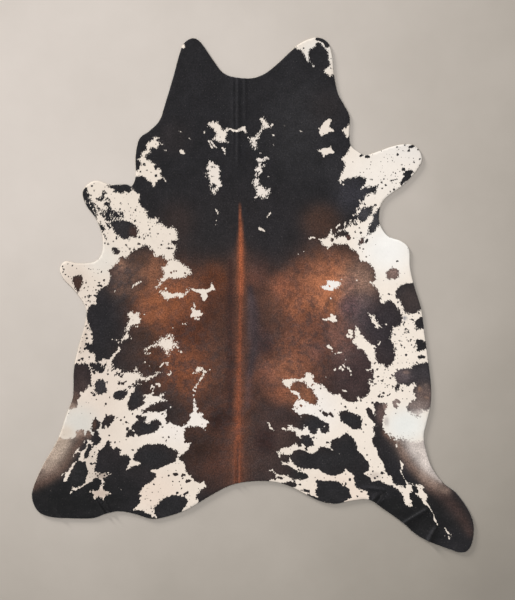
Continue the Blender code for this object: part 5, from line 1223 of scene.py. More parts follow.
def paint_run(coat, dabs, dark):
    """Paint a run of dabs over the coat, dark or white."""
    dabs = [np.array(dab, dtype=float) for dab in dabs]
    for start, end in zip(dabs, dabs[1:] or dabs):
        reach = max(start[2], end[2]) + FAR
        rows, columns = cells_near(np.minimum(start, end), np.maximum(start, end), reach)
        x, y = np.meshgrid(ACROSS[columns], ALONG[rows])
        distance, share = capsule_distance(start, end, x, y)
        depth = STEEPNESS * (start[2] + share * (end[2] - start[2]) - distance)
        if dark:
            coat[rows, columns] = np.maximum(coat[rows, columns], depth)
        else:
            coat[rows, columns] = np.minimum(coat[rows, columns], -depth)


def painted_coat():
    """Return how deep each cell lies in dark hair (cm), negative in white hair."""
    coat = np.full((len(ALONG), len(ACROSS)), -FAR)
    for patch in DARK_PATCHES:
        coat = np.maximum(coat, patch_depth(patch))
    for patch in WHITE_PATCHES:
        coat = np.minimum(coat, -patch_depth(patch))
    for run in WHITE_RUNS:
        paint_run(coat, run, dark=False)
    for run in DARK_RUNS:
        paint_run(coat, run, dark=True)
    for dot in DARK_DOTS:
        paint_run(coat, (dot,), dark=True)
    for dot in WHITE_DOTS:
        paint_run(coat, (dot,), dark=False)
    return np.clip(coat, -FAR, FAR)


def read_chart(chart, places):
    """Return the chart's values at some places (cm), blended between cells."""
    column = np.clip((places[:, 0] - ACROSS[0]) / CELL, 0.0, len(ACROSS) - LAST_CELLS)
    row = np.clip((places[:, 1] - ALONG[0]) / CELL, 0.0, len(ALONG) - LAST_CELLS)
    left, low = column.astype(int), row.astype(int)
    right_share, high_share = column - left, row - low
    lower = chart[low, left] * (1.0 - right_share) + chart[low, left + 1] * right_share
    upper = chart[low + 1, left] * (1.0 - right_share) + chart[low + 1, left + 1] * right_share
    return lower * (1.0 - high_share) + upper * high_share


# ------------------------------------------------------------ folds and colours
def fade(distance, fade_length):
    """Return 0 at an end and 1 past its fade, with no kink at either."""
    if fade_length == 0:
        return np.ones_like(distance)
    share = np.clip(distance / (fade_length * MM), 0.0, 1.0)
    return share * share * (3.0 - 2.0 * share)


def lift_at(places):
    """Return how far the folds lift the sheet off the floor (m) at each chart place."""
    lift = np.zeros(len(places))
    for fold in FOLDS:
        start = np.array(fold.start)
        run = (np.array(fold.end) - start) * CM
        length = np.linalg.norm(run)
        ahead = run / length
        offset = (places - start) * CM
        along = offset @ ahead
        sideways = np.abs(offset @ np.array((-ahead[1], ahead[0])))
        share = np.clip(sideways / (fold.half_width * MM), 0.0, 1.0)
        ridge = 0.5 + 0.5 * np.cos(np.pi * share)
        inside = (along > -fold.half_width * MM) & (along < length)
        ends = fade(along, fold.start_fade) * fade(length - along, fold.end_fade)
        lift = np.maximum(lift, np.where(inside, fold.rise * MM * ridge * ends, 0.0))
    return lift


# How flat a spot is in its middle: at 1 it fades like a bell, and above 1 its edge is firmer.
SPOT_FIRMNESS = 1.5


def spot_weight(places, spot):
    """Return how strongly a wash or zone reaches each place, from 1 in its middle to 0."""
    lean = math.radians(spot.lean)
    x = places[:, 0] - spot.across
    y = places[:, 1] - spot.along
    across = (x * math.cos(lean) - y * math.sin(lean)) / spot.half_across
    along = (x * math.sin(lean) + y * math.cos(lean)) / spot.half_along
    return np.exp(-(across ** 2 + along ** 2) ** SPOT_FIRMNESS)


def wash_over(colours, colour, weight):
    """Lay one colour over the colours, by weight."""
    return colours + (np.array(colour, dtype=float) - colours) * weight[:, None]


def washed_colours(places, base, washes):
    """Return the hair's colour at each place, as display values from 0 to 255."""
    colours = np.tile(np.array(base, dtype=float), (len(places), 1))
    for wash in washes:
        colours = wash_over(colours, wash.colour, wash.strength * spot_weight(places, wash))
    return colours


def band_weight(places, band):
    """Return how strongly a band shows at each place."""
    weight = np.zeros(len(places))
    dabs = [np.array(dab, dtype=float) for dab in band.dabs]
    for start, end in zip(dabs, dabs[1:]):
        distance, share = capsule_distance(start, end, places[:, 0], places[:, 1])
        half_width = start[2] + share * (end[2] - start[2])
        weight = np.maximum(weight, np.exp(-(distance / half_width) ** 2))
    return weight * band.strength


def dark_colours(places):
    """Return the colour of the dark hair at each place, with the painted light and shade of its creases
    and its painted sheen.
    """
    colours = washed_colours(places, BLACK_HAIR, DARK_WASHES)
    for band in DARK_BANDS:
        colours = wash_over(colours, band.colour, band_weight(places, band))
    return colours


def zone_values(places, common, zones):
    """Return a quality of the hair at each place."""
    values = np.full(len(places), common)
    for zone in zones:
        values += (zone.value - values) * spot_weight(places, zone)
    return values


def to_linear(colours):
    """Turn display values from 0 to 255 into linear colour."""
    share = np.clip(colours / 255.0, 0.0, 1.0)
    return np.where(share <= 0.04045, share / 12.92, ((share + 0.055) / 1.055) ** 2.4)


# The hair lies along the spine, and its lie fans out towards the rump.
SPINE_ACROSS = -5.8
FLOW_SPREAD = 0.5


def hair_flow(places):
    """Return places measured across and along the way the hair lies, in metres."""
    along = (places[:, 1] - CHART_MIDDLE[1]) * CM
    across = (places[:, 0] - SPINE_ACROSS) * CM * np.exp(FLOW_SPREAD * along)
    return np.stack((across, along, np.zeros(len(places))), axis=1)


# ----------------------------------------------------------------- mesh helpers
COAT = painted_coat()
HIDE = patch_depth(EDGE)

# Places this near an edge of the coat (cm) are fine, and places this close are finest.
NEAR_AN_EDGE = 0.75
CLOSE_TO_AN_EDGE = 0.24
# A place lifted more than this (m) lies on a fold.
FOLDED_FROM = 0.05 * MM
# Triangulation keeps what lies inside the ring, and joins points nearer than this (cm).
INSIDE_ONLY = 1
JOINED_WITHIN = 1e-7


def add_attribute(mesh, name, kind, values):
    """Give a mesh a value for each of its points."""
    field = {"FLOAT": "value", "FLOAT_VECTOR": "vector", "FLOAT_COLOR": "color"}[kind]
    attribute = mesh.attributes.new(name, kind, "POINT")
    attribute.data.foreach_set(field, np.ascontiguousarray(values, dtype=np.float32).ravel())


def with_alpha(colours):
    """Return the colours with full cover as their fourth value."""
    return np.concatenate((colours, np.ones((len(colours), 1))), axis=1)


def add_hair_attributes(mesh, places, coat, painted_shade):
    """Give each point its place in the pattern, the qualities of its hair and the painted shade of its
    rim.
    """
    add_attribute(mesh, "coat_edge", "FLOAT", coat)
    dark = to_linear(dark_colours(places))
    light = to_linear(washed_colours(places, CREAM_HAIR, LIGHT_WASHES))
    add_attribute(mesh, "dark_hair", "FLOAT_COLOR", with_alpha(dark))
    add_attribute(mesh, "light_hair", "FLOAT_COLOR", with_alpha(light))
    add_attribute(mesh, "hair_flow", "FLOAT_VECTOR", hair_flow(places))
    zones = (
        zone_values(places, COMMON_SOFTNESS, SOFT_ZONES),
        zone_values(places, COMMON_SPECKS, SPECK_ZONES),
        zone_values(places, COMMON_MOTTLE, MOTTLE_ZONES),
    )
    add_attribute(mesh, "hair_zones", "FLOAT_VECTOR", np.stack(zones, axis=1))
    add_attribute(mesh, "painted_rim_shade", "FLOAT", painted_shade)
    ragged = zone_values(places, COMMON_RAGGEDNESS, RAGGED_ZONES)
    add_attribute(mesh, "raggedness", "FLOAT", ragged)


def new_piece(name, mesh, material):
    """Make a smooth object of a mesh, with its material, and put it in the scene."""
    mesh.materials.append(material)
    mesh.polygons.foreach_set("use_smooth", np.full(len(mesh.polygons), True))
    piece = bpy.data.objects.new(name, mesh)
    bpy.context.scene.collection.objects.link(piece)
    return piece


def new_mesh(name, points, faces):
    """Make a mesh of points (m) and faces."""
    mesh = bpy.data.meshes.new(name)
    mesh.from_pydata([tuple(map(float, point)) for point in points], [], faces)
    mesh.update()
    return mesh


def fineness(numbers):
    """Return 0 for every fourth row or column of a lattice, 1 for every second, 2 for the rest."""
    return np.where(numbers % 4 == 0, 0, np.where(numbers % 2 == 0, 1, 2))


def lattice_places(step, keep_coarse, clear):
    """Return a lattice of places on the hide, fine where the coat changes or the hide folds.

    The step is the finest spacing. Every fourth place of the lattice is kept
    everywhere, every second near a change, and all of them close to one. A
    coarse lattice keeps all its places on the folds.
    """
    columns = np.arange(CHART_LOW[0], CHART_HIGH[0], step)
    rows = np.arange(CHART_LOW[1], CHART_HIGH[1], step)
    x, y = np.meshgrid(columns, rows)
    places = np.stack((x.ravel(), y.ravel()), axis=1)
    column_level, row_level = np.meshgrid(
        fineness(np.arange(len(columns))), fineness(np.arange(len(rows))))
    level = np.maximum(column_level, row_level).ravel()
    inside = read_chart(HIDE, places) > clear
    places, level = places[inside], level[inside]
    nearness = np.full(len(places), np.inf)
    if not keep_coarse:
        nearness = np.abs(read_chart(COAT, places))
    folded = (lift_at(places) > FOLDED_FROM) & (level <= (2 if keep_coarse else 1))
    near = (level == 1) & (nearness < NEAR_AN_EDGE)
    return places[(level == 0) | near | folded | (nearness < CLOSE_TO_AN_EDGE)]


def triangulate(ring, inner):
    """Return the triangles of a sheet inside a ring, with points inside it."""
    points = [Vector(place) for place in np.vstack((ring, inner))]
    border = [(index, (index + 1) % len(ring)) for index in range(len(ring))]
    _, _, faces, _, _, _ = delaunay_2d_cdt(points, border, [], INSIDE_ONLY, JOINED_WITHIN)
    return [tuple(face) for face in faces]


def band_faces(lower_start, upper_start, count):
    """Return the faces of a band between two rings of points, facing outwards."""
    faces = []
    for index in range(count):
        following = (index + 1) % count
        faces.append((
            lower_start + index, upper_start + index,
            upper_start + following, lower_start + following,
        ))
    return faces


# ------------------------------------------------------------------ the hair side
class RimLevel(NamedTuple):
    """A ring round the sheet: its height, how far it stands out, its unrolled reach, its painted shade.
    """

    height: float
    stand_out: float
    unrolled: float = 0.0
    painted_shade: float = 0.0


# The last number of a hair ring is the painted shade on the hair rolled over the cut edge.
HAIR_RIM = (
    RimLevel(HAIR_TOP, -1.9 * MM, -1.9 * MM),
    RimLevel(4.5 * MM, -0.5 * MM, -0.4 * MM, 0.6),
    RimLevel(3.5 * MM, 0.2 * MM, 0.8 * MM, 0.9),
    RimLevel(2.3 * MM, 0.3 * MM, 2.0 * MM, 1.0),
    RimLevel(1.6 * MM, -0.4 * MM, 3.0 * MM, 1.0),
)
# The lattice's finest spacing, and how far inside the cut edge it ends (cm).
LATTICE_STEP = 0.235
LATTICE_CLEAR = 0.42
# The pile's unevenness: the size (m) of each of its waves, how many there are in a metre, and
# the slice of the noise that gives them.
PILE_WAVES = ((0.35 * MM, 9.0), (0.16 * MM, 34.0))
PILE_SLICE = 4.0


def pile_unevenness(places):
    """Return the small rises and falls of the lying hair (m)."""
    heights = np.zeros(len(places))
    for index, (x, y) in enumerate(places * CM):
        heights[index] = sum(
            size * noise.noise((x * count, y * count, PILE_SLICE)) for size, count in PILE_WAVES
        )
    return heights


def hair_side_mesh(name):
    """Build the hair side as one sheet: fine where the coat changes, and rolled over the cut edge."""
    rings = [rim_ring(level.stand_out) for level in HAIR_RIM]
    inner = lattice_places(LATTICE_STEP, keep_coarse=False, clear=LATTICE_CLEAR)
    count = len(EDGE)
    outer_start = count + len(inner)
    ring_points = [
        np.column_stack((to_model(ring), lift_at(EDGE) + level.height))
        for level, ring in zip(HAIR_RIM, rings)
    ]
    inner_height = lift_at(inner) + HAIR_TOP + pile_unevenness(inner)
    inner_points = np.column_stack((to_model(inner), inner_height))
    faces = triangulate(rings[0], inner) + band_faces(outer_start, 0, count)
    for level in range(len(HAIR_RIM) - 2):
        start = outer_start + level * count
        faces += band_faces(start + count, start, count)
    mesh = new_mesh(name, np.vstack((ring_points[0], inner_points, *ring_points[1:])), faces)
    # Painted shade on the rings that roll over the cut edge.
    painted_rim_shade = np.repeat([level.painted_shade for level in HAIR_RIM[1:]], count)
    painted_shade = np.concatenate((np.zeros(outer_start), painted_rim_shade))
    places = np.vstack((rings[0], inner, *rings[1:]))
    add_hair_attributes(mesh, places, read_chart(COAT, places), painted_shade)
    unrolled = [rim_ring(level.unrolled) for level in HAIR_RIM]
    add_flat_map(mesh, np.vstack((unrolled[0], inner, *unrolled[1:])))
    return mesh


MAP_MARGIN = 0.005


def add_flat_map(mesh, places):
    """Lay the sheet out flat on a map, as seen from above."""
    low, high = places.min(axis=0), places.max(axis=0)
    flat = MAP_MARGIN + (places - low) / (high - low) * (1.0 - 2.0 * MAP_MARGIN)
    corners = np.zeros(len(mesh.loops), dtype=np.int32)
    mesh.loops.foreach_get("vertex_index", corners)
    layer = mesh.uv_layers.new(name="OFBake")
    layer.data.foreach_set("uv", flat[corners].astype(np.float32).ravel())


# ------------------------------------------------------------------- the skin side
SKIN_LATTICE_STEP = 0.45
SKIN_LATTICE_CLEAR = 0.5
SKIN_RIM = (
    RimLevel(SKIN_TOP, 0.2 * MM),
    RimLevel(SKIN_TOP - 0.5 * MM, SKIN_STAND_OUT),
    RimLevel(0.5 * MM, SKIN_STAND_OUT - 0.2 * MM),
    RimLevel(0.0, SKIN_STAND_OUT - 0.9 * MM),
)


def skin_mesh(name):
    """Build the skin as a thin closed sheet: its underside lies on the floor, apart from the folds."""
    inner = lattice_places(SKIN_LATTICE_STEP, keep_coarse=True, clear=SKIN_LATTICE_CLEAR)
    inner_lift, edge_lift = lift_at(inner), lift_at(EDGE)
    blocks = [
        np.column_stack((to_model(rim_ring(level.stand_out)), edge_lift + level.height))
        for level in SKIN_RIM
    ]
    blocks += [
        np.column_stack((to_model(inner), inner_lift + height)) for height in (SKIN_TOP, 0.0)
    ]
    count = len(EDGE)
    top_start = len(SKIN_RIM) * count
    bottom_start = top_start + len(inner)
    last_ring = (len(SKIN_RIM) - 1) * count

    def moved(face, ring_start, inner_start):
        return tuple(
            ring_start + index if index < count else inner_start + index - count for index in face
        )

    sheet = triangulate(EDGE, inner)
    faces = [moved(face, 0, top_start) for face in sheet]
    faces += [moved(face[::-1], last_ring, bottom_start) for face in sheet]
    for level in range(len(SKIN_RIM) - 1):
        faces += band_faces((level + 1) * count, level * count, count)
    return new_mesh(name, np.vstack(blocks), faces)


# --------------------------------------------------------------- the hair's fringe
TUFTS = 7000
TUFT_SEED = 11
# How far tufts lean to either side, and towards the tail, as shares of their way out.
SIDE_LEAN = 0.35
TAILWARDS = (0.0, -0.6)
TAIL_SHARES = (0.2, 1.0)
# A tuft that points out of the hide by less than the first share is given the second.
LEAST_WAY_OUT = 0.25
MENDED_WAY_OUT = 0.5
# How far tufts reach past the cut edge and start inside it, and half their width, in centimetres.
TUFT_REACHES = (0.12, 0.34)
TUFT_ROOTS = (0.15, 0.35)
TUFT_HALF_WIDTHS = (0.035, 0.075)
# How high their roots and tips lie, in millimetres, and how much the middle of a root stands up.
ROOT_HEIGHTS = (3.4, 4.4)
TIP_HEIGHTS = (0.9, 3.2)
ROOT_CROWN = 0.5 * MM
# How far inside the cut edge a tuft takes its colour from (cm), and the painted shade on its corners.
COLOUR_FROM = 0.4
TUFT_PAINTED_SHADES = (0.55, 0.55, 0.55, 0.8)


def tuft_feet(draw):
    """Return where the tufts cross the cut edge, and the way out of the hide there."""
    spots = np.sort(draw.uniform(0.0, len(EDGE), TUFTS))
    first = spots.astype(int) % len(EDGE)
    second = (first + 1) % len(EDGE)
    share = (spots - spots.astype(int))[:, None]
    foot = EDGE[first] * (1.0 - share) + EDGE[second] * share
    out = EDGE_OUT[first] * (1.0 - share) + EDGE_OUT[second] * share
    return foot, unit(out)


def tuft_ways(draw, out):
    """Return the way each tuft points: out of the hide, to one side and towards the tail."""
    lean = draw.normal(0.0, SIDE_LEAN, (TUFTS, 1))
    tailwards = np.array(TAILWARDS) * draw.uniform(*TAIL_SHARES, (TUFTS, 1))
    way = unit(out + turned_left(out) * lean + tailwards)
    way_out = (way * out).sum(axis=1)[:, None]
    return unit(np.where(way_out < LEAST_WAY_OUT, way + out * (MENDED_WAY_OUT - way_out), way))


def fringe_mesh(name):
    """Build short tufts of hair that lean out over the cut edge."""
    draw = np.random.default_rng(TUFT_SEED)
    foot, out = tuft_feet(draw)
    way = tuft_ways(draw, out)
    tip = foot + way * draw.uniform(*TUFT_REACHES, (TUFTS, 1))
    root = foot - way * draw.uniform(*TUFT_ROOTS, (TUFTS, 1))
    across = turned_left(way) * draw.uniform(*TUFT_HALF_WIDTHS, (TUFTS, 1))
    lift = lift_at(foot)
    root_height = lift + draw.uniform(*ROOT_HEIGHTS, TUFTS) * MM
    tip_height = lift + draw.uniform(*TIP_HEIGHTS, TUFTS) * MM
    corners = (
        np.column_stack((to_model(root - across), root_height)),
        np.column_stack((to_model(root + across), root_height)),
        np.column_stack((to_model(root), root_height + ROOT_CROWN)),
        np.column_stack((to_model(tip), tip_height)),
    )
    points = np.stack(corners, axis=1).reshape(-1, 3)
    faces = []
    for start in range(0, len(points), len(corners)):
        left, right, crown, end = range(start, start + len(corners))
        faces += [(left, right, end), (right, crown, end), (crown, left, end)]
    mesh = new_mesh(name, points, faces)
    inside = np.repeat(foot - out * COLOUR_FROM, len(corners), axis=0)
    coat = np.where(read_chart(COAT, inside) > 0.0, FAR, -FAR)
    # The tufts carry painted shade, most at their tips.
    add_hair_attributes(mesh, inside, coat, np.tile(TUFT_PAINTED_SHADES, TUFTS))
    return mesh


# --------------------------------------------------------------------- materials
class Noise(NamedTuple):
    """A noise: its waves in a metre along each axis, its detail and its roughness."""

    waves: tuple
    detail: float
    roughness: float


class Shading(NamedTuple):
    """How a noise shades a colour: the noise's low and high, and how much light is kept at each."""

    low: float
    high: float
    kept_at_low: float
    kept_at_high: float


class Specks(NamedTuple):
    """Small dots: the size of the cell that may hold one, and their least and greatest radius (m)."""

    cell: float
    least: float
    greatest: float


class Nodes:
    """Adds and links the nodes of one material."""

    def __init__(self, name):
        self.material = bpy.data.materials.new(name)
        self.material.use_nodes = True
        self.tree = self.material.node_tree
        self.shader = self.tree.nodes["Principled BSDF"]

    def add(self, kind, **settings):
        """Add a node with some settings."""
        node = self.tree.nodes.new(kind)
        for key, value in settings.items():
            setattr(node, key, value)
        return node

    def feed(self, socket, value):
        """Link another node's output to a socket, or give the socket a constant."""
        if isinstance(value, bpy.types.NodeSocket):
            self.tree.links.new(value, socket)
        else:
            socket.default_value = value

    def attribute(self, name, output):
        """Return what the mesh carries under a name."""
        return self.add("ShaderNodeAttribute", attribute_name=name).outputs[output]

    def math(self, operation, first, second):
        """Return what an operation makes of two values."""
        node = self.add("ShaderNodeMath", operation=operation)
        self.feed(node.inputs[0], first)
        self.feed(node.inputs[1], second)
        return node.outputs[0]

    def weighted(self, first, first_weight, second, second_weight):
        """Return two values added up by weight."""
        return self.math(
            "ADD", self.math("MULTIPLY", first, first_weight),
            self.math("MULTIPLY", second, second_weight))

    def scaled(self, vector, scale):
        """Return a vector with each of its parts multiplied."""
        node = self.add("ShaderNodeVectorMath", operation="MULTIPLY")
        self.feed(node.inputs[0], vector)
        self.feed(node.inputs[1], scale)
        return node.outputs[0]

    def split(self, vector):
        """Return the three parts of a vector."""
        node = self.add("ShaderNodeSeparateXYZ")
        self.feed(node.inputs[0], vector)
        return node.outputs

    def noise(self, place, kind):
        """Return a noise, from 0 to 1."""
        node = self.add("ShaderNodeTexNoise")
        self.feed(node.inputs["Vector"], self.scaled(place, kind.waves))
        node.inputs["Scale"].default_value = 1.0
        node.inputs["Detail"].default_value = kind.detail
        node.inputs["Roughness"].default_value = kind.roughness
        return node.outputs["Fac"]

    def ranged(self, value, old_low, old_high, new_low, new_high, smooth=False):
        """Return a value moved from its old range to a new one, and kept inside that."""
        node = self.add("ShaderNodeMapRange")
        node.interpolation_type = "SMOOTHSTEP" if smooth else "LINEAR"
        for socket, number in zip(node.inputs, (value, old_low, old_high, new_low, new_high)):
            self.feed(socket, number)
        return node.outputs["Result"]

    def mix(self, share, first, second, blend="MIX"):
        """Return a colour with a share of the second laid over the first."""
        node = self.add("ShaderNodeMix", data_type="RGBA", blend_type=blend)
        self.feed(node.inputs["Factor"], share)
        self.feed(node.inputs["A"], first)
        self.feed(node.inputs["B"], second)
        return node.outputs["Result"]

    def shaded(self, colour, value, shading, share=1.0):
        """Return a colour darkened and brightened by a noise."""
        return self.mix(share, colour, self.ranged(value, *shading), "MULTIPLY")

    def bump(self, height, strength, distance):
        """Make the surface look uneven."""
        node = self.add("ShaderNodeBump")
        node.inputs["Strength"].default_value = strength
        node.inputs["Distance"].default_value = distance
        self.feed(node.inputs["Height"], height)
        self.feed(self.shader.inputs["Normal"], node.outputs["Normal"])

    def set(self, **values):
        """Give the shader its values by the names of its inputs."""
        for name, value in values.items():
            self.feed(self.shader.inputs[name.replace("_", " ")], value)


# How soft a speck's edge is either side, as a share of its cell.
SPECK_EDGE = 0.04


def specks(nodes, place, chance, kind):
    """Return where small dots of hair lie: 1 inside a dot, in as many of the cells as chance says."""
    cells = nodes.add("ShaderNodeTexVoronoi", voronoi_dimensions="2D")
    nodes.feed(cells.inputs["Vector"], nodes.scaled(place, (1.0 / kind.cell, 1.0 / kind.cell, 0.0)))
    cells.inputs["Scale"].default_value = 1.0
    cells.inputs["Randomness"].default_value = 1.0
    draws = nodes.add("ShaderNodeSeparateColor")
    nodes.feed(draws.inputs[0], cells.outputs["Color"])
    radius = nodes.ranged(draws.outputs[0], 0.0, 1.0, kind.least / kind.cell, kind.greatest / kind.cell)
    depth = nodes.math("SUBTRACT", radius, cells.outputs["Distance"])
    dot = nodes.ranged(depth, -SPECK_EDGE, SPECK_EDGE, 0.0, 1.0)
    chosen = nodes.math("LESS_THAN", draws.outputs[1], chance)
    return nodes.math("MULTIPLY", dot, chosen)


# The noises in the hair: those that follow its lie, and those that don't.
FLOW_NOISES = {
    "streaks": Noise((420.0, 70.0, 1.0), 3.0, 0.6),
    "strands": Noise((1500.0, 160.0, 1.0), 2.0, 0.6),
    "ragged": Noise((160.0, 95.0, 1.0), 1.0, 0.5),
    "teeth": Noise((340.0, 170.0, 1.0), 1.0, 0.5),
    "smoke": Noise((30.0, 24.0, 1.0), 5.0, 0.7),
}
PLACE_NOISES = {
    "patches": Noise((55.0, 55.0, 1.0), 6.0, 0.75),
    "clouds": Noise((14.0, 14.0, 1.0), 4.0, 0.65),
    "pepper": Noise((300.0, 300.0, 1.0), 2.0, 0.7),
    "grain": Noise((150.0, 120.0, 1.0), 1.0, 0.6),
}


def hair_noises(nodes, place):
    """Return the noises in the hair by name."""
    flow = nodes.attribute("hair_flow", "Vector")
    noises = {name: nodes.noise(flow, kind) for name, kind in FLOW_NOISES.items()}
    noises.update((name, nodes.noise(place, kind)) for name, kind in PLACE_NOISES.items())
    return noises


# How far the edge between white and dark straggles, and how far dark hangs over white (cm).
RAGGED_REACH = 1.9
TEETH_REACH = 1.0
OVERHANG = 0.11
# Specks of dark hair on the white, and how dark they are.
SMALL_SPECKS = Specks(0.016, 0.0010, 0.0026)
LARGE_SPECKS = Specks(0.034, 0.0020, 0.0042)
LARGE_SPECK_SHARE = 0.35
SPECK_STRENGTH = 0.85


def dark_share(nodes, noises, place, softness, chance):
    """Return where the hair is dark, with an edge as ragged as the hair lies, and specks."""
    straggle = nodes.math(
        "ADD", nodes.ranged(noises["ragged"], 0.0, 1.0, -RAGGED_REACH, RAGGED_REACH),
        nodes.ranged(noises["teeth"], 0.0, 1.0, -TEETH_REACH, TEETH_REACH))
    straggle = nodes.math("MULTIPLY", straggle, nodes.attribute("raggedness", "Fac"))
    edge = nodes.math("ADD", nodes.attribute("coat_edge", "Fac"), straggle)
    edge = nodes.math("ADD", edge, OVERHANG)
    share = nodes.ranged(
        edge, nodes.math("MULTIPLY", softness, -1.0), softness, 0.0, 1.0, smooth=True)
    small = specks(nodes, place, chance, SMALL_SPECKS)
    large = specks(nodes, place, nodes.math("MULTIPLY", chance, LARGE_SPECK_SHARE), LARGE_SPECKS)
    spotted = nodes.math("MULTIPLY", nodes.math("MAXIMUM", small, large), SPECK_STRENGTH)
    return nodes.math("MAXIMUM", share, spotted)


# Black hairs among the rusty ones, in patches and as smoke, where the noise is low.
MOTTLE_LIMITS = (0.40, 0.56)
MOTTLE_TINT = (0.40, 0.38, 0.42, 1.0)
MOTTLE_STRENGTH = 0.55
MOTTLE_GLOW = 1.14
SMOKE_LIMITS = (0.41, 0.55)
SMOKE_COLOUR = (0.040, 0.034, 0.036, 1.0)
SMOKE_STRENGTH = 0.62
# Between these tones hair turns from brown to pale roan, which shows less of its grain.
ROAN_TONES = (0.10, 0.45)
ROAN_CONTRAST = 0.42
PEPPER_SHADING = Shading(0.3, 0.7, 0.30, 1.80)
GRAIN_SHADING = Shading(0.3, 0.7, 0.70, 1.32)
STREAK_SHADING = Shading(0.3, 0.7, 0.88, 1.16)
CLOUD_SHADING = Shading(0.3, 0.7, 0.74, 1.30)
# Single pale hairs in the dark.
PALE_HAIRS = Specks(0.013, 0.0002, 0.0010)
PALE_CHANCE = 0.30
PALE_STRENGTH = 0.35
PALE_COLOUR = (0.30, 0.27, 0.25, 1.0)


def patchy(nodes, value, limits, amount, strength):
    """Return how strongly patches show, most where a noise is low."""
    low = nodes.ranged(value, *limits, 1.0, 0.0, smooth=True)
    return nodes.math("MULTIPLY", nodes.math("MULTIPLY", low, amount), strength)


def dark_hair(nodes, noises, place, mottle):
    """Return the dark hair's colour: the mesh's own, with mottling, grain, streaks and pale hairs."""
    dark = nodes.attribute("dark_hair", "Color")
    deep = nodes.mix(1.0, dark, MOTTLE_TINT, "MULTIPLY")
    patches = patchy(nodes, noises["patches"], MOTTLE_LIMITS, mottle, MOTTLE_STRENGTH)
    dark = nodes.mix(patches, dark, deep)
    dark = nodes.mix(1.0, dark, nodes.ranged(mottle, 0.0, 1.0, 1.0, MOTTLE_GLOW), "MULTIPLY")
    smoke = patchy(nodes, noises["smoke"], SMOKE_LIMITS, mottle, SMOKE_STRENGTH)
    dark = nodes.mix(smoke, dark, SMOKE_COLOUR)
    tone = nodes.add("ShaderNodeRGBToBW")
    nodes.feed(tone.inputs[0], dark)
    contrast = nodes.ranged(tone.outputs[0], *ROAN_TONES, 1.0, ROAN_CONTRAST)
    dark = nodes.shaded(dark, noises["pepper"], PEPPER_SHADING, contrast)
    dark = nodes.shaded(dark, noises["grain"], GRAIN_SHADING, contrast)
    dark = nodes.shaded(dark, noises["streaks"], STREAK_SHADING)
    pale = nodes.math("MULTIPLY", specks(nodes, place, PALE_CHANCE, PALE_HAIRS), PALE_STRENGTH)
    dark = nodes.mix(pale, dark, PALE_COLOUR)
    return nodes.shaded(dark, noises["clouds"], CLOUD_SHADING)


LIGHT_STREAK_SHADING = Shading(0.2, 0.8, 0.93, 1.03)
LIGHT_CLOUD_SHADING = Shading(0.2, 0.8, 0.95, 1.04)


def light_hair(nodes, noises):
    """Return the light hair's colour: the mesh's own, with faint streaks and clouds."""
    light = nodes.attribute("light_hair", "Color")
    light = nodes.shaded(light, noises["streaks"], LIGHT_STREAK_SHADING)
    return nodes.shaded(light, noises["clouds"], LIGHT_CLOUD_SHADING)


# Painted shade: the hair rolled over the cut edge is painted darker than the coat.
RIM_PAINTED_SHADE = (0.05, 0.04, 0.035, 1.0)
RIM_PAINTED_SHADE_STRENGTH = 0.6
# The hair's relief, as shares of streaks and strands, and how rough it is from strand to strand.
STREAK_RELIEF = 0.6
STRAND_RELIEF = 0.4
HAIR_RELIEF = 0.35
HAIR_RELIEF_DEPTH = 0.5 * MM
HAIR_ROUGHNESS = (0.2, 0.8, 0.50, 0.66)


def hair_material():
    """Return the coat's material, which reads the pattern that the mesh carries."""
    nodes = Nodes("hair")
    place = nodes.add("ShaderNodeTexCoord").outputs["Object"]
    noises = hair_noises(nodes, place)
    softness, chance, mottle = nodes.split(nodes.attribute("hair_zones", "Vector"))
    share = dark_share(nodes, noises, place, softness, chance)
    colour = nodes.mix(share, light_hair(nodes, noises), dark_hair(nodes, noises, place, mottle))
    # Painted shade darkens the hair rolled over the cut edge.
    painted_shade_share = nodes.math("MULTIPLY", nodes.attribute("painted_rim_shade", "Fac"), RIM_PAINTED_SHADE_STRENGTH)
    colour = nodes.mix(painted_shade_share, colour, RIM_PAINTED_SHADE)
    height = nodes.weighted(noises["streaks"], STREAK_RELIEF, noises["strands"], STRAND_RELIEF)
    nodes.bump(height, HAIR_RELIEF, HAIR_RELIEF_DEPTH)
    nodes.set(Base_Color=colour, Roughness=nodes.ranged(noises["strands"], *HAIR_ROUGHNESS))
    nodes.set(Specular_IOR_Level=0.16, Sheen_Weight=0.12, Sheen_Roughness=0.45)
    return nodes.material


SUEDE_CREAM = (0.62, 0.56, 0.46, 1.0)
SUEDE_COOL = (0.50, 0.52, 0.51, 1.0)
SUEDE_CLOUDS = Noise((7.0, 7.0, 7.0), 4.0, 0.6)
SUEDE_CLOUD_LIMITS = (0.35, 0.65)
SUEDE_VEINS = Noise((26.0, 11.0, 20.0), 4.0, 0.7)
SUEDE_NAP = Noise((700.0, 700.0, 700.0), 3.0, 0.7)
VEIN_SHADING = Shading(0.3, 0.7, 0.86, 1.08)
NAP_SHADING = Shading(0.25, 0.75, 0.90, 1.08)
VEIN_RELIEF = 0.5
NAP_RELIEF = 0.5
SUEDE_RELIEF = 0.5
SUEDE_RELIEF_DEPTH = 0.6 * MM
SUEDE_ROUGHNESS = (0.2, 0.8, 0.78, 0.95)


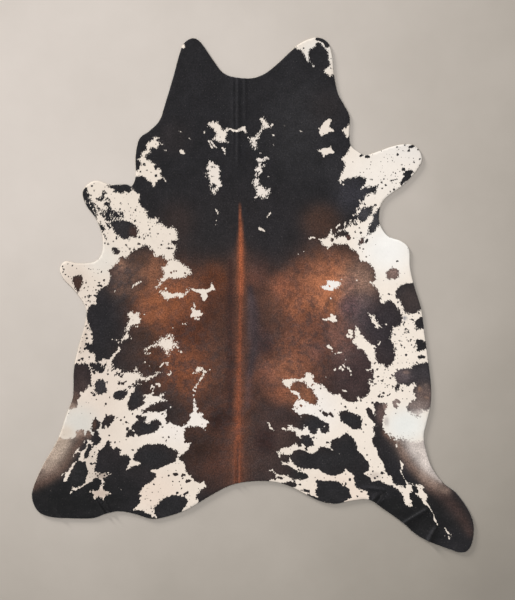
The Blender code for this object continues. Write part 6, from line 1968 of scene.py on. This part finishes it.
def skin_material():
    """Return the skin side's material: pale, nappy suede with a raw edge."""
    nodes = Nodes("skin")
    place = nodes.add("ShaderNodeTexCoord").outputs["Object"]
    clouds = nodes.noise(place, SUEDE_CLOUDS)
    veins = nodes.noise(place, SUEDE_VEINS)
    nap = nodes.noise(place, SUEDE_NAP)
    cloudy = nodes.ranged(clouds, *SUEDE_CLOUD_LIMITS, 0.0, 1.0, smooth=True)
    colour = nodes.mix(cloudy, SUEDE_CREAM, SUEDE_COOL)
    colour = nodes.shaded(colour, veins, VEIN_SHADING)
    colour = nodes.shaded(colour, nap, NAP_SHADING)
    height = nodes.weighted(nap, NAP_RELIEF, veins, VEIN_RELIEF)
    nodes.bump(height, SUEDE_RELIEF, SUEDE_RELIEF_DEPTH)
    nodes.set(Base_Color=colour, Roughness=nodes.ranged(nap, *SUEDE_ROUGHNESS))
    nodes.set(Specular_IOR_Level=0.2, Sheen_Weight=0.3, Sheen_Roughness=0.6)
    return nodes.material


# The floor's tints where its painted light is bright and where it is dim.
FLOOR_BRIGHT = (0.60, 0.545, 0.50, 1.0)
FLOOR_DIM = (0.60, 0.54, 0.465, 1.0)
FLOOR_TINT_LEVELS = (0.75, 1.1)
# The painted light on the floor in the photograph's frame: its slopes per metre across and along, and
# its fall with the square of the distance from its brightest place (m).
FLOOR_SLOPES = (-0.10, 0.06)
BRIGHTEST_AT = 0.2
FLOOR_FALL = -0.036
FLOOR_CLOUDS = Noise((1.6, 1.6, 1.6), 4.0, 0.6)
FLOOR_CLOUD_LEVELS = (0.94, 1.06)
LEAST_LEVEL = 0.7
LEVEL_POWER = 2.2
# Past the photograph's frame (m) the floor keeps its painted light, and further out it turns evenly
# pale.
FLOOR_REACH = 1.35
EVEN_FROM = 1.9
EVEN_PAST = 4.0
EVEN_LEVEL = 0.97


def painted_floor_light(nodes, place):
    """Return how bright the floor is painted at each place: painted light, brightest at the upper left,
    with faint clouds.
    """
    x, y = (
        nodes.ranged(part, -FLOOR_REACH, FLOOR_REACH, -FLOOR_REACH, FLOOR_REACH)
        for part in nodes.split(place)[:2]
    )
    level = nodes.weighted(x, FLOOR_SLOPES[0], y, FLOOR_SLOPES[1])
    for part in (x, y):
        offset = nodes.math("SUBTRACT", part, BRIGHTEST_AT)
        square = nodes.math("MULTIPLY", offset, offset)
        level = nodes.math("ADD", level, nodes.math("MULTIPLY", square, FLOOR_FALL))
    clouds = nodes.ranged(nodes.noise(place, FLOOR_CLOUDS), 0.0, 1.0, *FLOOR_CLOUD_LEVELS)
    level = nodes.math("MAXIMUM", nodes.math("ADD", level, clouds), LEAST_LEVEL)
    length = nodes.add("ShaderNodeVectorMath", operation="LENGTH")
    nodes.feed(length.inputs[0], place)
    away = length.outputs["Value"]
    near = nodes.ranged(away, EVEN_FROM, EVEN_PAST, 1.0, 0.0, smooth=True)
    far = nodes.ranged(away, EVEN_FROM, EVEN_PAST, 0.0, EVEN_LEVEL, smooth=True)
    return nodes.math("ADD", nodes.math("MULTIPLY", level, near), far)


def floor_material():
    """Return a pale floor with painted light, brightest at the upper left and dimmer towards its
    corners.
    """
    nodes = Nodes("floor")
    level = painted_floor_light(nodes, nodes.add("ShaderNodeTexCoord").outputs["Object"])
    colour = nodes.mix(nodes.ranged(level, *FLOOR_TINT_LEVELS, 0.0, 1.0), FLOOR_DIM, FLOOR_BRIGHT)
    colour = nodes.mix(1.0, colour, nodes.math("POWER", level, LEVEL_POWER), "MULTIPLY")
    nodes.set(Base_Color=colour, Roughness=0.85, Specular_IOR_Level=0.1)
    return nodes.material


# ------------------------------------------------------------- the studio round it
# The key light's direction and width are in degrees.
KEY_ELEVATION = 8.8
KEY_AZIMUTH = 132.0
KEY_SOFTNESS = 9.0
KEY_STRENGTH = 4.8
KEY_COLOUR = (1.0, 0.98, 0.95)
SKY_COLOUR = (1.0, 1.0, 1.0, 1.0)
SKY_STRENGTH = 0.74
# The floor reaches this far each way, and lies a hair's breadth under the hide.
FLOOR_HALF_SIZE = 40.0
FLOOR_DROP = 0.3 * MM


def add_floor():
    """Add the floor that the hide lies on."""
    corners = [
        (x * FLOOR_HALF_SIZE, y * FLOOR_HALF_SIZE, -FLOOR_DROP)
        for x, y in ((-1, -1), (1, -1), (1, 1), (-1, 1))
    ]
    floor = new_piece("floor", new_mesh("floor", corners, [(0, 1, 2, 3)]), floor_material())


def add_lights():
    """Add a low soft light from the upper left, and an even pale sky."""
    light = bpy.data.lights.new("key", "SUN")
    light.energy = KEY_STRENGTH
    light.angle = math.radians(KEY_SOFTNESS)
    light.color = KEY_COLOUR
    key = bpy.data.objects.new("key", light)
    azimuth, elevation = math.radians(KEY_AZIMUTH), math.radians(KEY_ELEVATION)
    towards = Vector((
        math.cos(azimuth) * math.cos(elevation),
        math.sin(azimuth) * math.cos(elevation),
        math.sin(elevation),
    ))
    key.rotation_euler = towards.to_track_quat("Z", "Y").to_euler()
    bpy.context.scene.collection.objects.link(key)
    world = bpy.data.worlds.new("studio")
    world.use_nodes = True
    background = world.node_tree.nodes["Background"]
    background.inputs["Color"].default_value = SKY_COLOUR
    background.inputs["Strength"].default_value = SKY_STRENGTH
    bpy.context.scene.world = world


def add_camera():
    """Add the camera, straight above the hide as in the photograph."""
    data = bpy.data.cameras.new("camera")
    data.lens = LENS
    data.sensor_width = SENSOR
    camera = bpy.data.objects.new("camera", data)
    camera.location = (*CAMERA_PLACE, HAIR_TOP + FRAME_HEIGHT * LENS / SENSOR)
    bpy.context.scene.collection.objects.link(camera)
    bpy.context.scene.camera = camera
    bpy.context.scene.view_settings.view_transform = "Standard"


def build():
    """Build the pieces, say what they are, and set the studio round them."""
    hair = hair_material()
    coat = new_piece("hair_coat", hair_side_mesh("hair_coat"), hair)
    skin = new_piece("hide_skin", skin_mesh("hide_skin"), skin_material())
    fringe = new_piece("edge_fringe", fringe_mesh("edge_fringe"), hair)
    for piece in (coat, skin, fringe):
        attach(piece, "root")
        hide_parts("hide")
    add_floor()
    add_lights()
    add_camera()


build()
